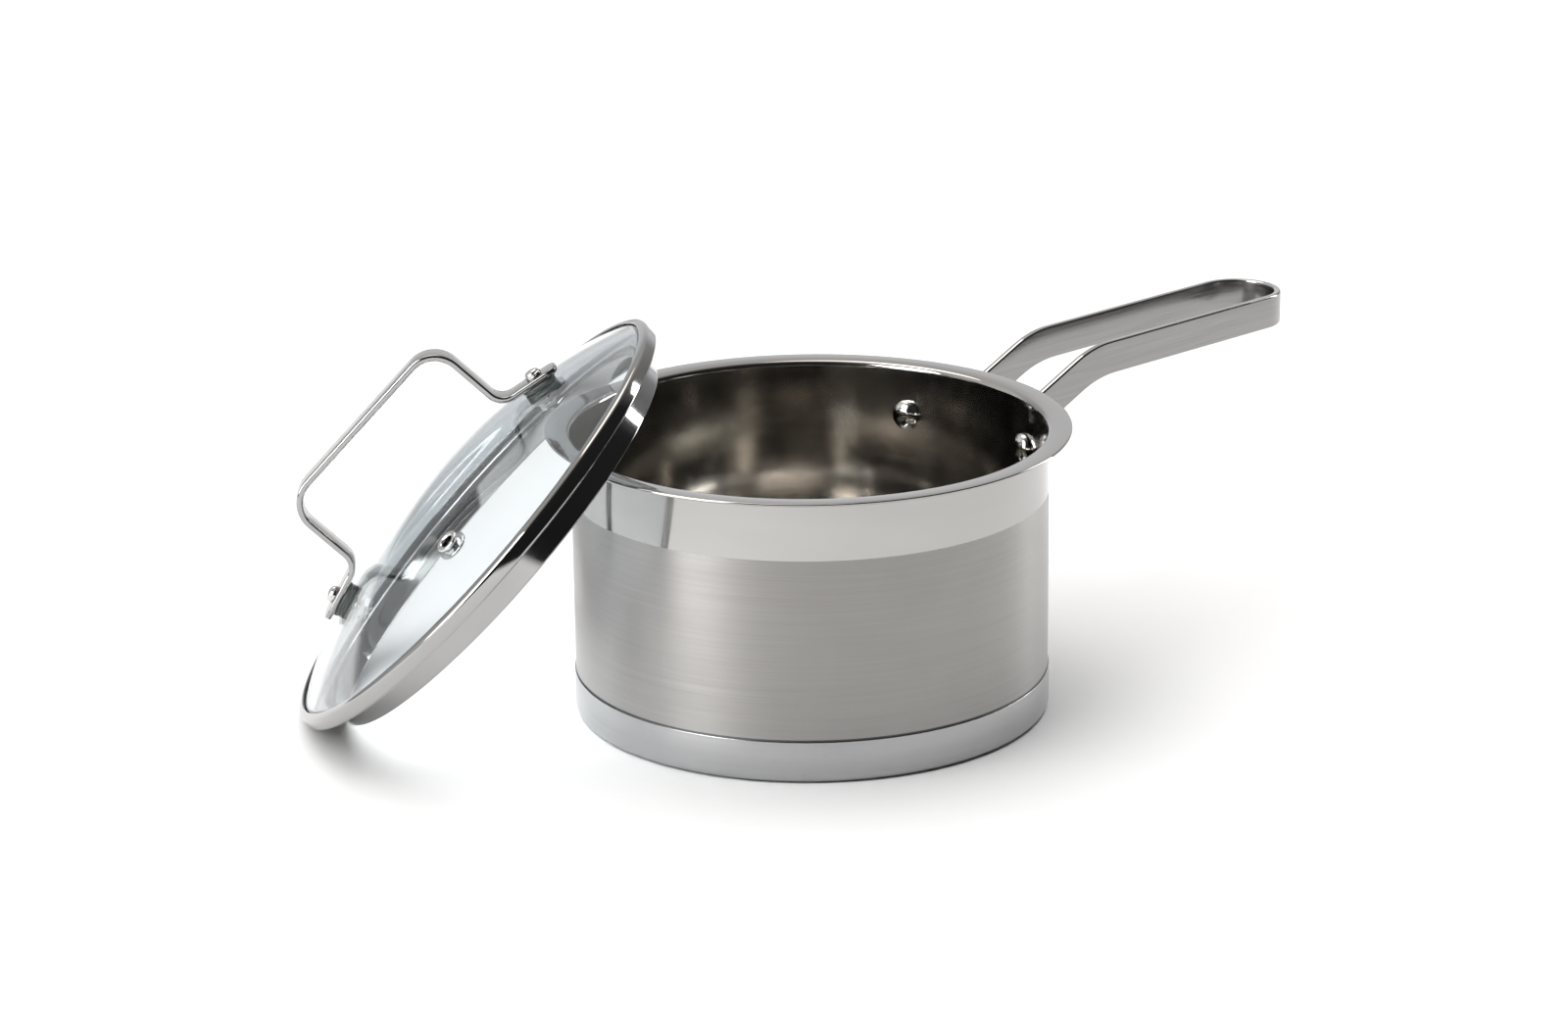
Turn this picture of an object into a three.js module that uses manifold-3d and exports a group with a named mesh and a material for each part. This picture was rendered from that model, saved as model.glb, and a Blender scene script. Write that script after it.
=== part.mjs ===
// Saucepan with a glass lid: a straight-sided steel pan on a capsule base, a hairpin strip handle
// riveted to its wall, and a domed glass lid with a steel ring that leans on the pan's rim.
// Millimetres, +Z up. The origin is the centre of the pan's flat underside, and the pan handle
// points along +X.
import * as THREE from 'three';
import { mergeVertices } from 'three/addons/utils/BufferGeometryUtils.js';
import Module from 'manifold-3d';

// ---- Pan body ----
const panOuterRadius = 80.7; // outside of the straight wall
const panWall = 0.7; // sheet thickness of wall and floor
const panHeight = 98; // floor surface to the rim's outer edge
const rimFlare = 7.8; // width of the flat flared rim, out from the wall
const rimSheet = 0.9; // thickness of the flared rim
const rimRise = 0.3; // the rim climbs this much from its root to its edge
const rimRootRadius = 0.8; // bend under the rim, on the outside of the wall
const panCornerRadius = 9; // outside corner between the wall and the floor

// ---- Capsule base ----
const capSheet = 0.8; // thickness of the steel cap
const capProud = 0.35; // the cap stands this far out from the wall
const capHeight = 14.4; // height of the cap's upper edge
const capCornerRadius = 2.5;
const coreThickness = 5.2; // aluminium disc between the cap and the pan
const coreSkirtDrop = 4.6; // top of the pan's corner down to the edge of the core's skirt
const bondGap = 0.05; // film between the bonded layers

// ---- Pan handle: one flat strip bent into a hairpin ----
const handleStrip = 2.5; // strip thickness
const handleStripHeight = 12; // strip height, measured across the strip
const handleHalfSpacing = 14.75; // each leg's mid-plane from the handle's own mid-plane
const handleLength = 152.5; // pan's wall to the loop's outermost point
const handleRise = 6; // the level part's upper edge stands this far over the rim
const handleSlope = 24; // degrees that the legs climb near the pan
const handleFootBend = 5; // mid-strip bend radius from leg to foot
const handleBendRadius = 26; // edge radius where the slope turns level
const handleRootRadius = 8; // edge radius where the foot turns into the slope
const footLength = 22.14; // each foot, measured round the wall
const footGap = 0.3; // clearance between the feet and the wall

// ---- Handle rivets ----
const rivetDrop = 18.2; // rim down to the rivets, at the middle of the handle's feet
const rivetInset = 10.48; // foot's end back to its rivet, measured round the wall
const rivetShankRadius = 2.5;
const rivetHeadRadius = 5.25; // domed head inside the pan
const rivetHeadRise = 3;
const rivetTailRadius = 4.2; // low formed head outside the foot
const rivetTailRise = 1.3;
const rivetDome = [[0, 1], [0.42, 0.93], [0.76, 0.7], [0.95, 0.38], [1, 0]]; // radius, rise shares
const rivetTail = [[1, 0], [0.8, 0.75], [0, 1]]; // the same for the formed head

// ---- Lid glass (lid frame: Z is the lid's axis, 0 at the underside of the ring's flange) ----
const domeRise = 19.944; // from the glass's edge up to its middle, outer surface
const glassThickness = 4;
const glassEdgeHeight = 2.956; // thickness left at the ground edge
const glassEdgeGap = 0.5; // glass's edge to the inside of the ring's band
const glassEdgeChamfer = 0.4;

// ---- Lid ring: one pressed sheet that holds the glass and drops a skirt into the pan ----
const ringSheet = 0.8;
const ringLipWidth = 3; // lip folded over the glass, in from the ring's outside
const ringShoulderDrop = 0.956; // straight part of the band stops this far below the shoulder
const skirtClearance = 0.6; // skirt to the inside of the pan's wall
const skirtDepth = 8.6; // below the flange
const skirtRoll = 0.5; // radius of the rolled lower edge
const skirtRootRadius = 0.6; // bend from the skirt out to the flange
const ringEdgeRadius = 0.9; // bend from the flange up to the band
const ringTopEase = { out: 1.4, edge: 0.45, share: 0.55 }; // eased corner from band to lip

// ---- Lid handle: one flat strip bent into a bail, with a foot at each end ----
const bailStrip = 2.2; // strip thickness
const bailWidth = 10.5;
const bailHalfSpan = 36.7; // mid-strip of each leg from the lid's axis
const bailRise = 31.8; // outer face of the grip over the glass's middle
const bailGripBend = 10; // mid-strip bend radius between leg and grip
const bailFootBend = 6.5; // mid-strip bend radius between leg and foot
const bailFootLength = 21.6; // mid-strip of each leg out to the end of its foot
const bailEndRadius = 3.8; // rounded corners of the feet

// ---- Fasteners of the lid handle ----
const screwOffset = 12.9; // mid-strip of each leg out to its screw, where it passes the glass
const screwShankRadius = 1.8;
const screwHeadRadius = 3;
const screwHeadRise = 2.6;
const screwHead = [[1, 0], [1, 0.5], [0.88, 0.8], [0.55, 0.97], [0, 1]]; // shares of radius, rise
const padRadius = 6.2;
const padThickness = 1.3;
const gasketThickness = 1.5;
const washerRadius = 5.6;
const washerThickness = 1;
const nutRadius = 4.05; // over the corners of the hexagon
const nutThickness = 2.6;
const screwTip = 0.9; // the screw passes the nut by this much

// ---- Steam vent ----
const ventDistance = 57.5; // from the lid's axis, a quarter turn from the handle
const ventTubeRadius = 3;
const ventBoreRadius = 2.2;
const ventFlangeRadius = 4.2;
const ventFlangeRise = 0.9;
const ventRollRadius = 3.9; // clinched lower edge
const ventRollDepth = 0.7;
const ventRollEase = 0.3; // eased edges of the roll and the flange
const ventWasherRadius = 5.2;
const ventWasherThickness = 0.8;

// ---- Fits ----
const fitGap = 0.3; // round the glass and under it, and round every shank
const stackGap = 0.2; // between the layers that a lid screw clamps
const leanGap = 0.3; // between the leaning lid and the pan's rim
const floorGap = 0.1; // between the leaning lid and the surface it stands on

// ---- How the lid leans ----
const lidOverhang = 42.34; // lid's upper edge past the level of the rim, measured down the lid
const lidBearing = 138.9; // degrees from the pan handle round to the lid
const lidTurn = 183.8; // degrees that the lid is turned about its own axis

// ---- Roundness of the meshes ----
const lathSegments = 64;
const smallSegments = 20;
const nutSides = 6;
const ringSegments = 28;
const bendSteps = 5;

const rad = THREE.MathUtils.degToRad;
const wasm = await Module();
wasm.setup();

// ================= Shape helpers =================

// Points on an arc of radius r round (cx, cy), both ends included; angles in degrees.
function arc(cx, cy, r, from, to, steps = bendSteps) {
  return Array.from({ length: steps + 1 }, (_, i) => {
    const a = rad(from + ((to - from) * i) / steps);
    return new THREE.Vector2(cx + r * Math.cos(a), cy + r * Math.sin(a));
  });
}

// A polyline of [x, y, bendRadius] corners with each bend replaced by an arc.
function bentLine(corners, closed = false) {
  const points = [];
  const n = corners.length;
  corners.forEach(([x, y, radius = 0], i) => {
    const here = new THREE.Vector2(x, y);
    if (!radius || (!closed && (i === 0 || i === n - 1))) {
      points.push(here);
      return;
    }
    const [px, py] = corners[(i + n - 1) % n];
    const [nx, ny] = corners[(i + 1) % n];
    const before = new THREE.Vector2(px - x, py - y).normalize();
    const after = new THREE.Vector2(nx - x, ny - y).normalize();
    const half = Math.acos(THREE.MathUtils.clamp(before.dot(after), -1, 1)) / 2;
    const toCentre = before.clone().add(after).normalize().multiplyScalar(radius / Math.sin(half));
    const centre = here.clone().add(toCentre);
    const start = here.clone().addScaledVector(before, radius / Math.tan(half)).sub(centre);
    const sweep = (Math.PI - 2 * half) * Math.sign(after.cross(before));
    for (let k = 0; k <= bendSteps; k += 1) {
      const spoke = start.clone().rotateAround(new THREE.Vector2(), (sweep * k) / bendSteps);
      points.push(spoke.add(centre));
    }
  });
  return points;
}

// The closed outline of a strip of the given thickness centred on an open line.
function stripOutline(line, thickness) {
  const side = (sign) => line.map((point, i) => {
    const before = line[Math.max(i - 1, 0)];
    const after = line[Math.min(i + 1, line.length - 1)];
    const inward = point.clone().sub(before).normalize();
    const outward = after.clone().sub(point).normalize();
    const along = inward.add(outward).normalize();
    const normal = new THREE.Vector2(-along.y, along.x);
    return point.clone().addScaledVector(normal, (sign * thickness) / 2);
  });
  return [...side(1), ...side(-1).reverse()];
}

// A solid of revolution about Z from a profile of (radius, height) points.
function turned(profile, segments = lathSegments) {
  const ring = profile[0].x > 1e-9 ? [...profile, profile[0].clone()] : profile;
  return new THREE.LatheGeometry(ring, segments).rotateX(Math.PI / 2);
}

// A ring or disc about Z between two heights; a bore of 0 leaves it whole.
function disc(radius, bore, from, to, segments = smallSegments) {
  const outline = [[bore, from], [radius, from], [radius, to], [bore, to]];
  return turned(outline.map(([r, z]) => new THREE.Vector2(r, z)), segments);
}

// Points of a rivet's or screw's head, from shares of its radius and of its rise over its seat.
function headOutline(shares, radius, seat, rise) {
  return shares.map(([r, z]) => new THREE.Vector2(radius * r, seat + rise * z));
}

// A prism along Z between two heights.
function prism(outline, from, to) {
  const options = { depth: to - from, bevelEnabled: false };
  return new THREE.ExtrudeGeometry(new THREE.Shape(outline), options).translate(0, 0, from);
}

// A prism along Y of an outline drawn in X and Z, centred on Y = 0.
function uprightPrism(outline, width) {
  return prism(outline, -width / 2, width / 2).rotateX(Math.PI / 2);
}

// The manifold solid of a closed geometry, turned right side out if its winding is reversed.
function solid(geometry) {
  const bare = geometry.clone();
  bare.deleteAttribute('normal');
  bare.deleteAttribute('uv');
  const merged = mergeVertices(bare, 1e-5);
  const index = Array.from(merged.index.array);
  const position = merged.getAttribute('position').array;
  const triangles = [];
  for (let i = 0; i < index.length; i += 3) {
    const [a, b, c] = index.slice(i, i + 3);
    if (a !== b && b !== c && a !== c) triangles.push(a, b, c);
  }
  const build = (list) => new wasm.Manifold(new wasm.Mesh({
    numProp: 3, vertProperties: new Float32Array(position), triVerts: new Uint32Array(list),
  }));
  let signed = 0;
  const v = (k) => new THREE.Vector3().fromArray(position, 3 * k);
  for (let i = 0; i < triangles.length; i += 3) {
    signed += v(triangles[i]).dot(v(triangles[i + 1]).cross(v(triangles[i + 2])));
  }
  return build(signed > 0 ? triangles : triangles.reverse());
}

// A flat-shaded geometry of a manifold solid.
function geometryOf(manifold) {
  const mesh = manifold.getMesh();
  const geometry = new THREE.BufferGeometry();
  const points = new Float32Array((mesh.vertProperties.length / mesh.numProp) * 3);
  for (let i = 0; i < points.length / 3; i += 1) {
    for (let k = 0; k < 3; k += 1) points[3 * i + k] = mesh.vertProperties[mesh.numProp * i + k];
  }
  geometry.setAttribute('position', new THREE.BufferAttribute(points, 3));
  geometry.setIndex(new THREE.BufferAttribute(new Uint32Array(mesh.triVerts), 1));
  geometry.computeVertexNormals();
  return geometry;
}

// A solid placed by a matrix.
const placed = (geometry, matrix) => solid(geometry.clone().applyMatrix4(matrix));

// ================= Materials =================

const satinSteel = new THREE.MeshStandardMaterial({ color: 0xb4b1ac, roughness: 0.34, metalness: 1 });
const polishedSteel = new THREE.MeshStandardMaterial({ color: 0xc4c4c5, roughness: 0.12, metalness: 1 });
const aluminium = new THREE.MeshStandardMaterial({ color: 0xb9bbbd, roughness: 0.5, metalness: 1 });
const silicone = new THREE.MeshStandardMaterial({ color: 0x4c5450, roughness: 0.65, metalness: 0 });
const lidGlass = new THREE.MeshStandardMaterial({
  color: 0xd2dce0, roughness: 0.03, metalness: 0, transparent: true, opacity: 0.35,
});

function piece(name, geometry, material) {
  const mesh = new THREE.Mesh(geometry, material);
  mesh.name = name;
  return mesh;
}

// ================= Pan body and capsule base =================

const panInnerRadius = panOuterRadius - panWall;
const rimOuterRadius = panOuterRadius + rimFlare;
const panUnderside = capSheet + coreThickness + 2 * bondGap;
const cornerCentre = { x: panOuterRadius - panCornerRadius, y: panUnderside + panCornerRadius };
const coreSkirtHeight = cornerCentre.y - coreSkirtDrop;
const rimUnderside = panHeight - rimRise - rimSheet; // at the rim's root
const rimEdge = new THREE.Vector2(rimOuterRadius - rimSheet / 2, panHeight - rimSheet / 2);

// The pan's lower outside corner and wall, moved out by a gap and cut off between two heights.
function cornerLine(gap, from, to) {
  const line = [
    ...arc(cornerCentre.x, cornerCentre.y, panCornerRadius + gap, -90, 0),
    new THREE.Vector2(panOuterRadius + gap, panHeight),
  ];
  const at = (height) => {
    const i = line.findIndex((p) => p.y > height);
    return line[i - 1].clone().lerp(line[i], (height - line[i - 1].y) / (line[i].y - line[i - 1].y));
  };
  const inside = line.filter((p) => p.y > from + 0.1 && p.y < to - 0.1);
  return from > line[0].y ? [at(from), ...inside, at(to)] : [line[0], ...inside, at(to)];
}

// Where the handle's strip runs round the wall, and where each foot bends out into its leg.
const rivetHeight = panHeight - rivetDrop;
const footRadius = panOuterRadius + footGap + handleStrip / 2; // mid-strip of the feet
const bendY = handleHalfSpacing + handleFootBend;
const bendX = Math.sqrt((footRadius + handleFootBend) ** 2 - bendY ** 2);
const footStartAngle = THREE.MathUtils.radToDeg(Math.atan2(bendY, bendX));
const footEndAngle = footStartAngle + THREE.MathUtils.radToDeg(footLength / footRadius);
const rivetAngle = footEndAngle - THREE.MathUtils.radToDeg(rivetInset / footRadius);

// Holes for the handle rivets, as shanks that pass the wall and the feet.
const rivetMatrix = (angle) => new THREE.Matrix4()
  .makeRotationZ(rad(angle))
  .multiply(new THREE.Matrix4().makeTranslation(0, 0, rivetHeight))
  .multiply(new THREE.Matrix4().makeRotationY(Math.PI / 2));

function rivetHole(angle) {
  const from = panInnerRadius - rivetHeadRise;
  const to = panOuterRadius + footGap + handleStrip + rivetTailRise;
  return placed(disc(rivetShankRadius + fitGap, 0, from, to), rivetMatrix(angle));
}
const rivetHoles = rivetHole(rivetAngle).add(rivetHole(-rivetAngle));

function panShell() {
  const root = { x: panOuterRadius + rimRootRadius, y: rimUnderside - rimRootRadius };
  const topRoot = arc(root.x, root.y, rimRootRadius + panWall, 90, 180, 4);
  // The sheet thickens from the wall's thickness to the rim's on its way out.
  for (const p of topRoot) {
    p.y += ((rimSheet - panWall) * (p.x - panInnerRadius)) / (root.x - panInnerRadius);
  }
  const profile = [
    new THREE.Vector2(0, panUnderside),
    ...arc(cornerCentre.x, cornerCentre.y, panCornerRadius, -90, 0),
    ...arc(root.x, root.y, rimRootRadius, 180, 90, 3),
    ...arc(rimEdge.x, rimEdge.y, rimSheet / 2, -90, 90, 4),
    ...topRoot,
    ...arc(cornerCentre.x, cornerCentre.y, panCornerRadius - panWall, 0, -90),
    new THREE.Vector2(0, panUnderside + panWall),
  ];
  return geometryOf(solid(turned(profile)).subtract(rivetHoles));
}

const capOuterRadius = panOuterRadius + capProud;
const capInnerRadius = capOuterRadius - capSheet;
const capInnerCorner = Math.max(capCornerRadius - capSheet, 0.2);

function baseCore() {
  const floor = capSheet + bondGap;
  const side = capInnerRadius - bondGap;
  const profile = [
    new THREE.Vector2(0, floor),
    ...arc(side - capInnerCorner, floor + capInnerCorner, capInnerCorner, -90, 0, 3),
    new THREE.Vector2(side, coreSkirtHeight),
    ...cornerLine(bondGap, 0, coreSkirtHeight).reverse(),
    new THREE.Vector2(0, panUnderside - bondGap),
  ];
  return turned(profile);
}

// The cap's wall is thinned towards its upper edge, where it hugs the pan's corner.
function baseCap() {
  const hug = cornerLine(bondGap, coreSkirtHeight, capHeight)
    .map((p) => new THREE.Vector2(Math.max(p.x, capInnerRadius), p.y));
  const profile = [
    new THREE.Vector2(0, 0),
    ...arc(capOuterRadius - capCornerRadius, capCornerRadius, capCornerRadius, -90, 0, 4),
    new THREE.Vector2(capOuterRadius, capHeight),
    ...hug.reverse(),
    ...arc(capInnerRadius - capInnerCorner, capSheet + capInnerCorner, capInnerCorner, 0, -90, 3),
    new THREE.Vector2(0, capSheet),
  ];
  return turned(profile);
}

// ================= Pan handle and its rivets =================

const handleReach = panOuterRadius + handleLength;
const handleTopHeight = panHeight + handleRise;

// Mid-line of the strip seen from above: foot round the wall, bend, leg, loop, leg, bend, foot.
function handleMidline() {
  const loopCentre = handleReach - handleHalfSpacing - handleStrip / 2;
  const half = [
    ...arc(0, 0, footRadius, footEndAngle, footStartAngle, 4),
    ...arc(bendX, bendY, handleFootBend, 180 + footStartAngle, 270, 6).slice(1),
  ];
  const mirrored = half.map((p) => new THREE.Vector2(p.x, -p.y)).reverse();
  return [...half, ...arc(loopCentre, 0, handleHalfSpacing, 90, -90, 16), ...mirrored];
}

// Outline of the strip seen from the side: level foot, slope, level grip.
function handleSideOutline() {
  const halfHeight = handleStripHeight / 2;
  const gripHeight = handleTopHeight - halfHeight;
  const slope = Math.tan(rad(handleSlope));
  const lift = halfHeight / Math.cos(rad(handleSlope));
  const rootX = panOuterRadius + footGap + handleStrip;
  const start = rootX - (panOuterRadius * 2) / 3;
  const end = handleReach + handleStrip;
  // Where the sloping edge at an offset above the slope's mid-line meets a level edge.
  const meets = (levelHeight, offset) => rootX + (levelHeight - rivetHeight - offset) / slope;
  return bentLine([
    [start, rivetHeight - halfHeight],
    [meets(rivetHeight - halfHeight, -lift), rivetHeight - halfHeight, handleRootRadius],
    [meets(gripHeight - halfHeight, -lift), gripHeight - halfHeight, handleBendRadius],
    [end, gripHeight - halfHeight],
    [end, gripHeight + halfHeight],
    [meets(gripHeight + halfHeight, lift), gripHeight + halfHeight, handleBendRadius],
    [meets(rivetHeight + halfHeight, lift), rivetHeight + halfHeight, handleRootRadius],
    [start, rivetHeight + halfHeight],
  ], true);
}

function panHandle() {
  const plan = stripOutline(handleMidline(), handleStrip);
  const fromAbove = solid(prism(plan, 0, handleTopHeight + handleStripHeight));
  const fromSide = solid(uprightPrism(handleSideOutline(), 2 * panOuterRadius));
  return geometryOf(fromAbove.intersect(fromSide).subtract(rivetHoles));
}

// A rivet along a radius of the pan: domed head inside the wall, low formed head outside the foot.
function handleRivet(angle) {
  const headSeat = Math.sqrt(panInnerRadius ** 2 - rivetHeadRadius ** 2) - fitGap;
  const tailSeat = panOuterRadius + footGap + handleStrip + fitGap;
  const profile = [
    ...headOutline(rivetDome, rivetHeadRadius, headSeat, -rivetHeadRise),
    new THREE.Vector2(rivetShankRadius, headSeat),
    new THREE.Vector2(rivetShankRadius, tailSeat),
    ...headOutline(rivetTail, rivetTailRadius, tailSeat, rivetTailRise),
  ];
  return geometryOf(placed(turned(profile, smallSegments), rivetMatrix(angle)));
}

// ================= Lid, in its own frame =================

const ringOuterRadius = rimOuterRadius; // the flange covers the pan's rim
const ringLipRadius = ringOuterRadius - ringLipWidth;
const glassEdgeRadius = ringOuterRadius - ringSheet - glassEdgeGap;
const glassEdgeTop = ringSheet + fitGap + glassEdgeHeight;
const domeRadius = (glassEdgeRadius ** 2 + domeRise ** 2) / (2 * domeRise);
const domeTop = glassEdgeTop + domeRise;
const domeCentre = domeTop - domeRadius; // height of the dome's centre on the lid's axis
const domeHeightAt = (radius) => domeCentre + Math.sqrt(domeRadius ** 2 - radius ** 2);
const skirtRadius = panInnerRadius - skirtClearance;

// Frame on the glass's outer surface at a distance from the lid's axis: Z is the surface's normal.
function onDome(distance, bearing) {
  return new THREE.Matrix4().makeRotationZ(rad(bearing))
    .multiply(new THREE.Matrix4().makeTranslation(distance, 0, domeHeightAt(distance)))
    .multiply(new THREE.Matrix4().makeRotationY(Math.asin(distance / domeRadius)));
}
const screwDistance = bailHalfSpan + screwOffset;
const footFrames = { right: onDome(screwDistance, 0), left: onDome(screwDistance, 180) };
const ventFrame = onDome(ventDistance, -90);

// Heights of the layers under and over the glass at each screw, along the screw.
const padBottom = stackGap;
const stripBottom = padBottom + padThickness + stackGap;
const headBottom = stripBottom + bailStrip + stackGap;
const gasketTop = -glassThickness - fitGap;
const washerTop = gasketTop - gasketThickness - stackGap;
const nutTop = washerTop - washerThickness - stackGap;
const ventWasherTop = -glassThickness - fitGap;
const holeRadius = screwShankRadius + fitGap;

function glassDome() {
  const innerRadius = domeRadius - glassThickness;
  const edgeBottom = ringSheet + fitGap;
  const flatFrom = Math.sqrt(innerRadius ** 2 - (edgeBottom - domeCentre) ** 2);
  const angleOf = (radius, sphere) => THREE.MathUtils.radToDeg(Math.acos(radius / sphere));
  const profile = [
    ...arc(0, domeCentre, innerRadius, 90, angleOf(flatFrom, innerRadius), 7),
    new THREE.Vector2(glassEdgeRadius - glassEdgeChamfer, edgeBottom),
    new THREE.Vector2(glassEdgeRadius, edgeBottom + glassEdgeChamfer),
    new THREE.Vector2(glassEdgeRadius, glassEdgeTop - glassEdgeChamfer),
    ...arc(0, domeCentre, domeRadius, angleOf(glassEdgeRadius - glassEdgeChamfer, domeRadius), 90, 8),
  ];
  profile[0].x = 0;
  profile[profile.length - 1].x = 0;
  const through = (radius, frame) => placed(
    disc(radius, 0, -2 * glassThickness, glassThickness), frame,
  );
  return geometryOf(solid(turned(profile))
    .subtract(through(holeRadius, footFrames.right))
    .subtract(through(holeRadius, footFrames.left))
    .subtract(through(ventTubeRadius + fitGap, ventFrame)));
}

function lidRing() {
  const lipUnder = domeHeightAt(ringLipRadius) + fitGap;
  const bandInner = ringOuterRadius - ringSheet;
  const shoulder = glassEdgeTop + fitGap;
  const skirtInner = skirtRadius - ringSheet;
  const rootX = skirtRadius + skirtRootRadius;
  const rollY = -skirtDepth + skirtRoll;
  const eased = ringSheet * ringTopEase.share;
  const profile = [
    new THREE.Vector2(ringLipRadius, lipUnder),
    new THREE.Vector2(bandInner - ringTopEase.share, shoulder),
    new THREE.Vector2(bandInner, shoulder - ringShoulderDrop),
    new THREE.Vector2(bandInner, ringSheet),
    ...arc(rootX, -skirtRootRadius, skirtRootRadius + ringSheet, 90, 180, 3),
    new THREE.Vector2(skirtInner, rollY),
    ...arc(skirtRadius - skirtRoll, rollY, skirtRoll, 225, 360, 4),
    ...arc(rootX, -skirtRootRadius, skirtRootRadius, 180, 90, 3),
    ...arc(ringOuterRadius - ringEdgeRadius, ringEdgeRadius, ringEdgeRadius, -90, 0, 3),
    new THREE.Vector2(ringOuterRadius, shoulder - ringShoulderDrop),
    new THREE.Vector2(ringOuterRadius - ringTopEase.edge, shoulder + eased),
    new THREE.Vector2(ringOuterRadius - ringTopEase.out, lipUnder + eased),
    new THREE.Vector2(ringLipRadius, lipUnder + ringSheet),
  ];
  return turned(profile);
}

const bailTop = domeTop + bailRise;
const bailFootEnd = bailHalfSpan + bailFootLength;

// Mid-line of the bail in the lid's X and Z: foot, leg, grip, leg, foot.
function bailMidline() {
  const slope = Math.asin(screwDistance / domeRadius);
  const midLayer = stripBottom + bailStrip / 2;
  const footX = screwDistance + midLayer * Math.sin(slope);
  const footZ = domeHeightAt(screwDistance) + midLayer * Math.cos(slope);
  const footAt = (x) => footZ - (x - footX) * Math.tan(slope);
  const gripZ = bailTop - bailStrip / 2;
  const side = [
    [bailFootEnd, footAt(bailFootEnd)],
    [bailHalfSpan, footAt(bailHalfSpan), bailFootBend],
    [bailHalfSpan, gripZ, bailGripBend],
  ];
  const other = side.map(([x, z, radius]) => [-x, z, radius]).reverse();
  return bentLine([...side, ...other]);
}

function lidBail() {
  const strip = solid(uprightPrism(stripOutline(bailMidline(), bailStrip), bailWidth));
  const half = { x: bailFootEnd, y: bailWidth / 2 };
  const plan = bentLine([
    [half.x, half.y, bailEndRadius], [-half.x, half.y, bailEndRadius],
    [-half.x, -half.y, bailEndRadius], [half.x, -half.y, bailEndRadius],
  ], true);
  const rounded = strip.intersect(solid(prism(plan, 0, bailTop + bailStrip)));
  const hole = disc(holeRadius, 0, 0, headBottom + screwHeadRise);
  return geometryOf(rounded
    .subtract(placed(hole, footFrames.right))
    .subtract(placed(hole, footFrames.left)));
}

function screw(frame) {
  const tip = nutTop - nutThickness - screwTip;
  const profile = [
    new THREE.Vector2(0, tip),
    new THREE.Vector2(screwShankRadius, tip),
    new THREE.Vector2(screwShankRadius, headBottom),
    ...headOutline(screwHead, screwHeadRadius, headBottom, screwHeadRise),
  ];
  return geometryOf(placed(turned(profile, smallSegments), frame));
}

function ventEyelet() {
  const under = ventWasherTop - ventWasherThickness - stackGap;
  const top = stackGap + ventFlangeRise;
  const shoulder = stackGap + ventFlangeRise / 2;
  const profile = [
    new THREE.Vector2(ventBoreRadius, under - ventRollDepth),
    new THREE.Vector2(ventRollRadius - ventRollEase, under - ventRollDepth),
    new THREE.Vector2(ventRollRadius, under - ventRollDepth / 2),
    new THREE.Vector2(ventRollRadius, under),
    new THREE.Vector2(ventTubeRadius, under),
    new THREE.Vector2(ventTubeRadius, stackGap),
    new THREE.Vector2(ventFlangeRadius, stackGap),
    new THREE.Vector2(ventFlangeRadius, shoulder),
    new THREE.Vector2(ventFlangeRadius - ventRollEase, top),
    new THREE.Vector2(ventBoreRadius + ventRollEase, top),
    new THREE.Vector2(ventBoreRadius, shoulder),
  ];
  return geometryOf(placed(turned(profile, ringSegments), ventFrame));
}

const inFrame = (geometry, frame) => geometryOf(placed(geometry, frame));

// ================= Where the leaning lid stands =================

// The lid stands on its flange's edge and leans until its skirt's edge meets the pan's rim.
// Clearance between the two, for a lid whose centre is at this distance from the pan's axis.
const lidLean = THREE.MathUtils.radToDeg(
  Math.asin(panHeight / (2 * ringOuterRadius - lidOverhang)),
); // between the lid's axis and the vertical
const lidCentreHeight = ringOuterRadius * Math.sin(rad(lidLean)) + floorGap;
function leanClearance(distance) {
  const axis = new THREE.Vector3(Math.sin(rad(lidLean)), 0, Math.cos(rad(lidLean)));
  let least = Infinity;
  for (let bearing = 0; bearing <= 90; bearing += 0.5) {
    const point = new THREE.Vector3(rimEdge.x, 0, rimEdge.y)
      .applyAxisAngle(new THREE.Vector3(0, 0, 1), rad(bearing))
      .sub(new THREE.Vector3(distance, 0, lidCentreHeight));
    const along = point.dot(axis);
    const across = Math.sqrt(point.lengthSq() - along ** 2);
    const gap = Math.hypot(across - (skirtRadius - skirtRoll), along + skirtDepth - skirtRoll);
    least = Math.min(least, gap - skirtRoll - rimSheet / 2);
  }
  return least;
}

// Walks the lid in from afar until the clearance is the wanted one, then closes in on it.
function leanDistance() {
  let distance = rimOuterRadius + ringOuterRadius;
  for (const step of [1, 0.1, 0.01]) {
    while (leanClearance(distance - step) > leanGap) distance -= step;
  }
  return distance;
}

// ================= Assembly =================

const pan = new THREE.Group();
pan.add(
  piece('pan_shell', panShell(), satinSteel),
  piece('base_core', baseCore(), aluminium),
  piece('base_cap', baseCap(), satinSteel),
  piece('pan_handle', panHandle(), satinSteel),
  piece('handle_rivet_left', handleRivet(rivetAngle), polishedSteel),
  piece('handle_rivet_right', handleRivet(-rivetAngle), polishedSteel),
);

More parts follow.
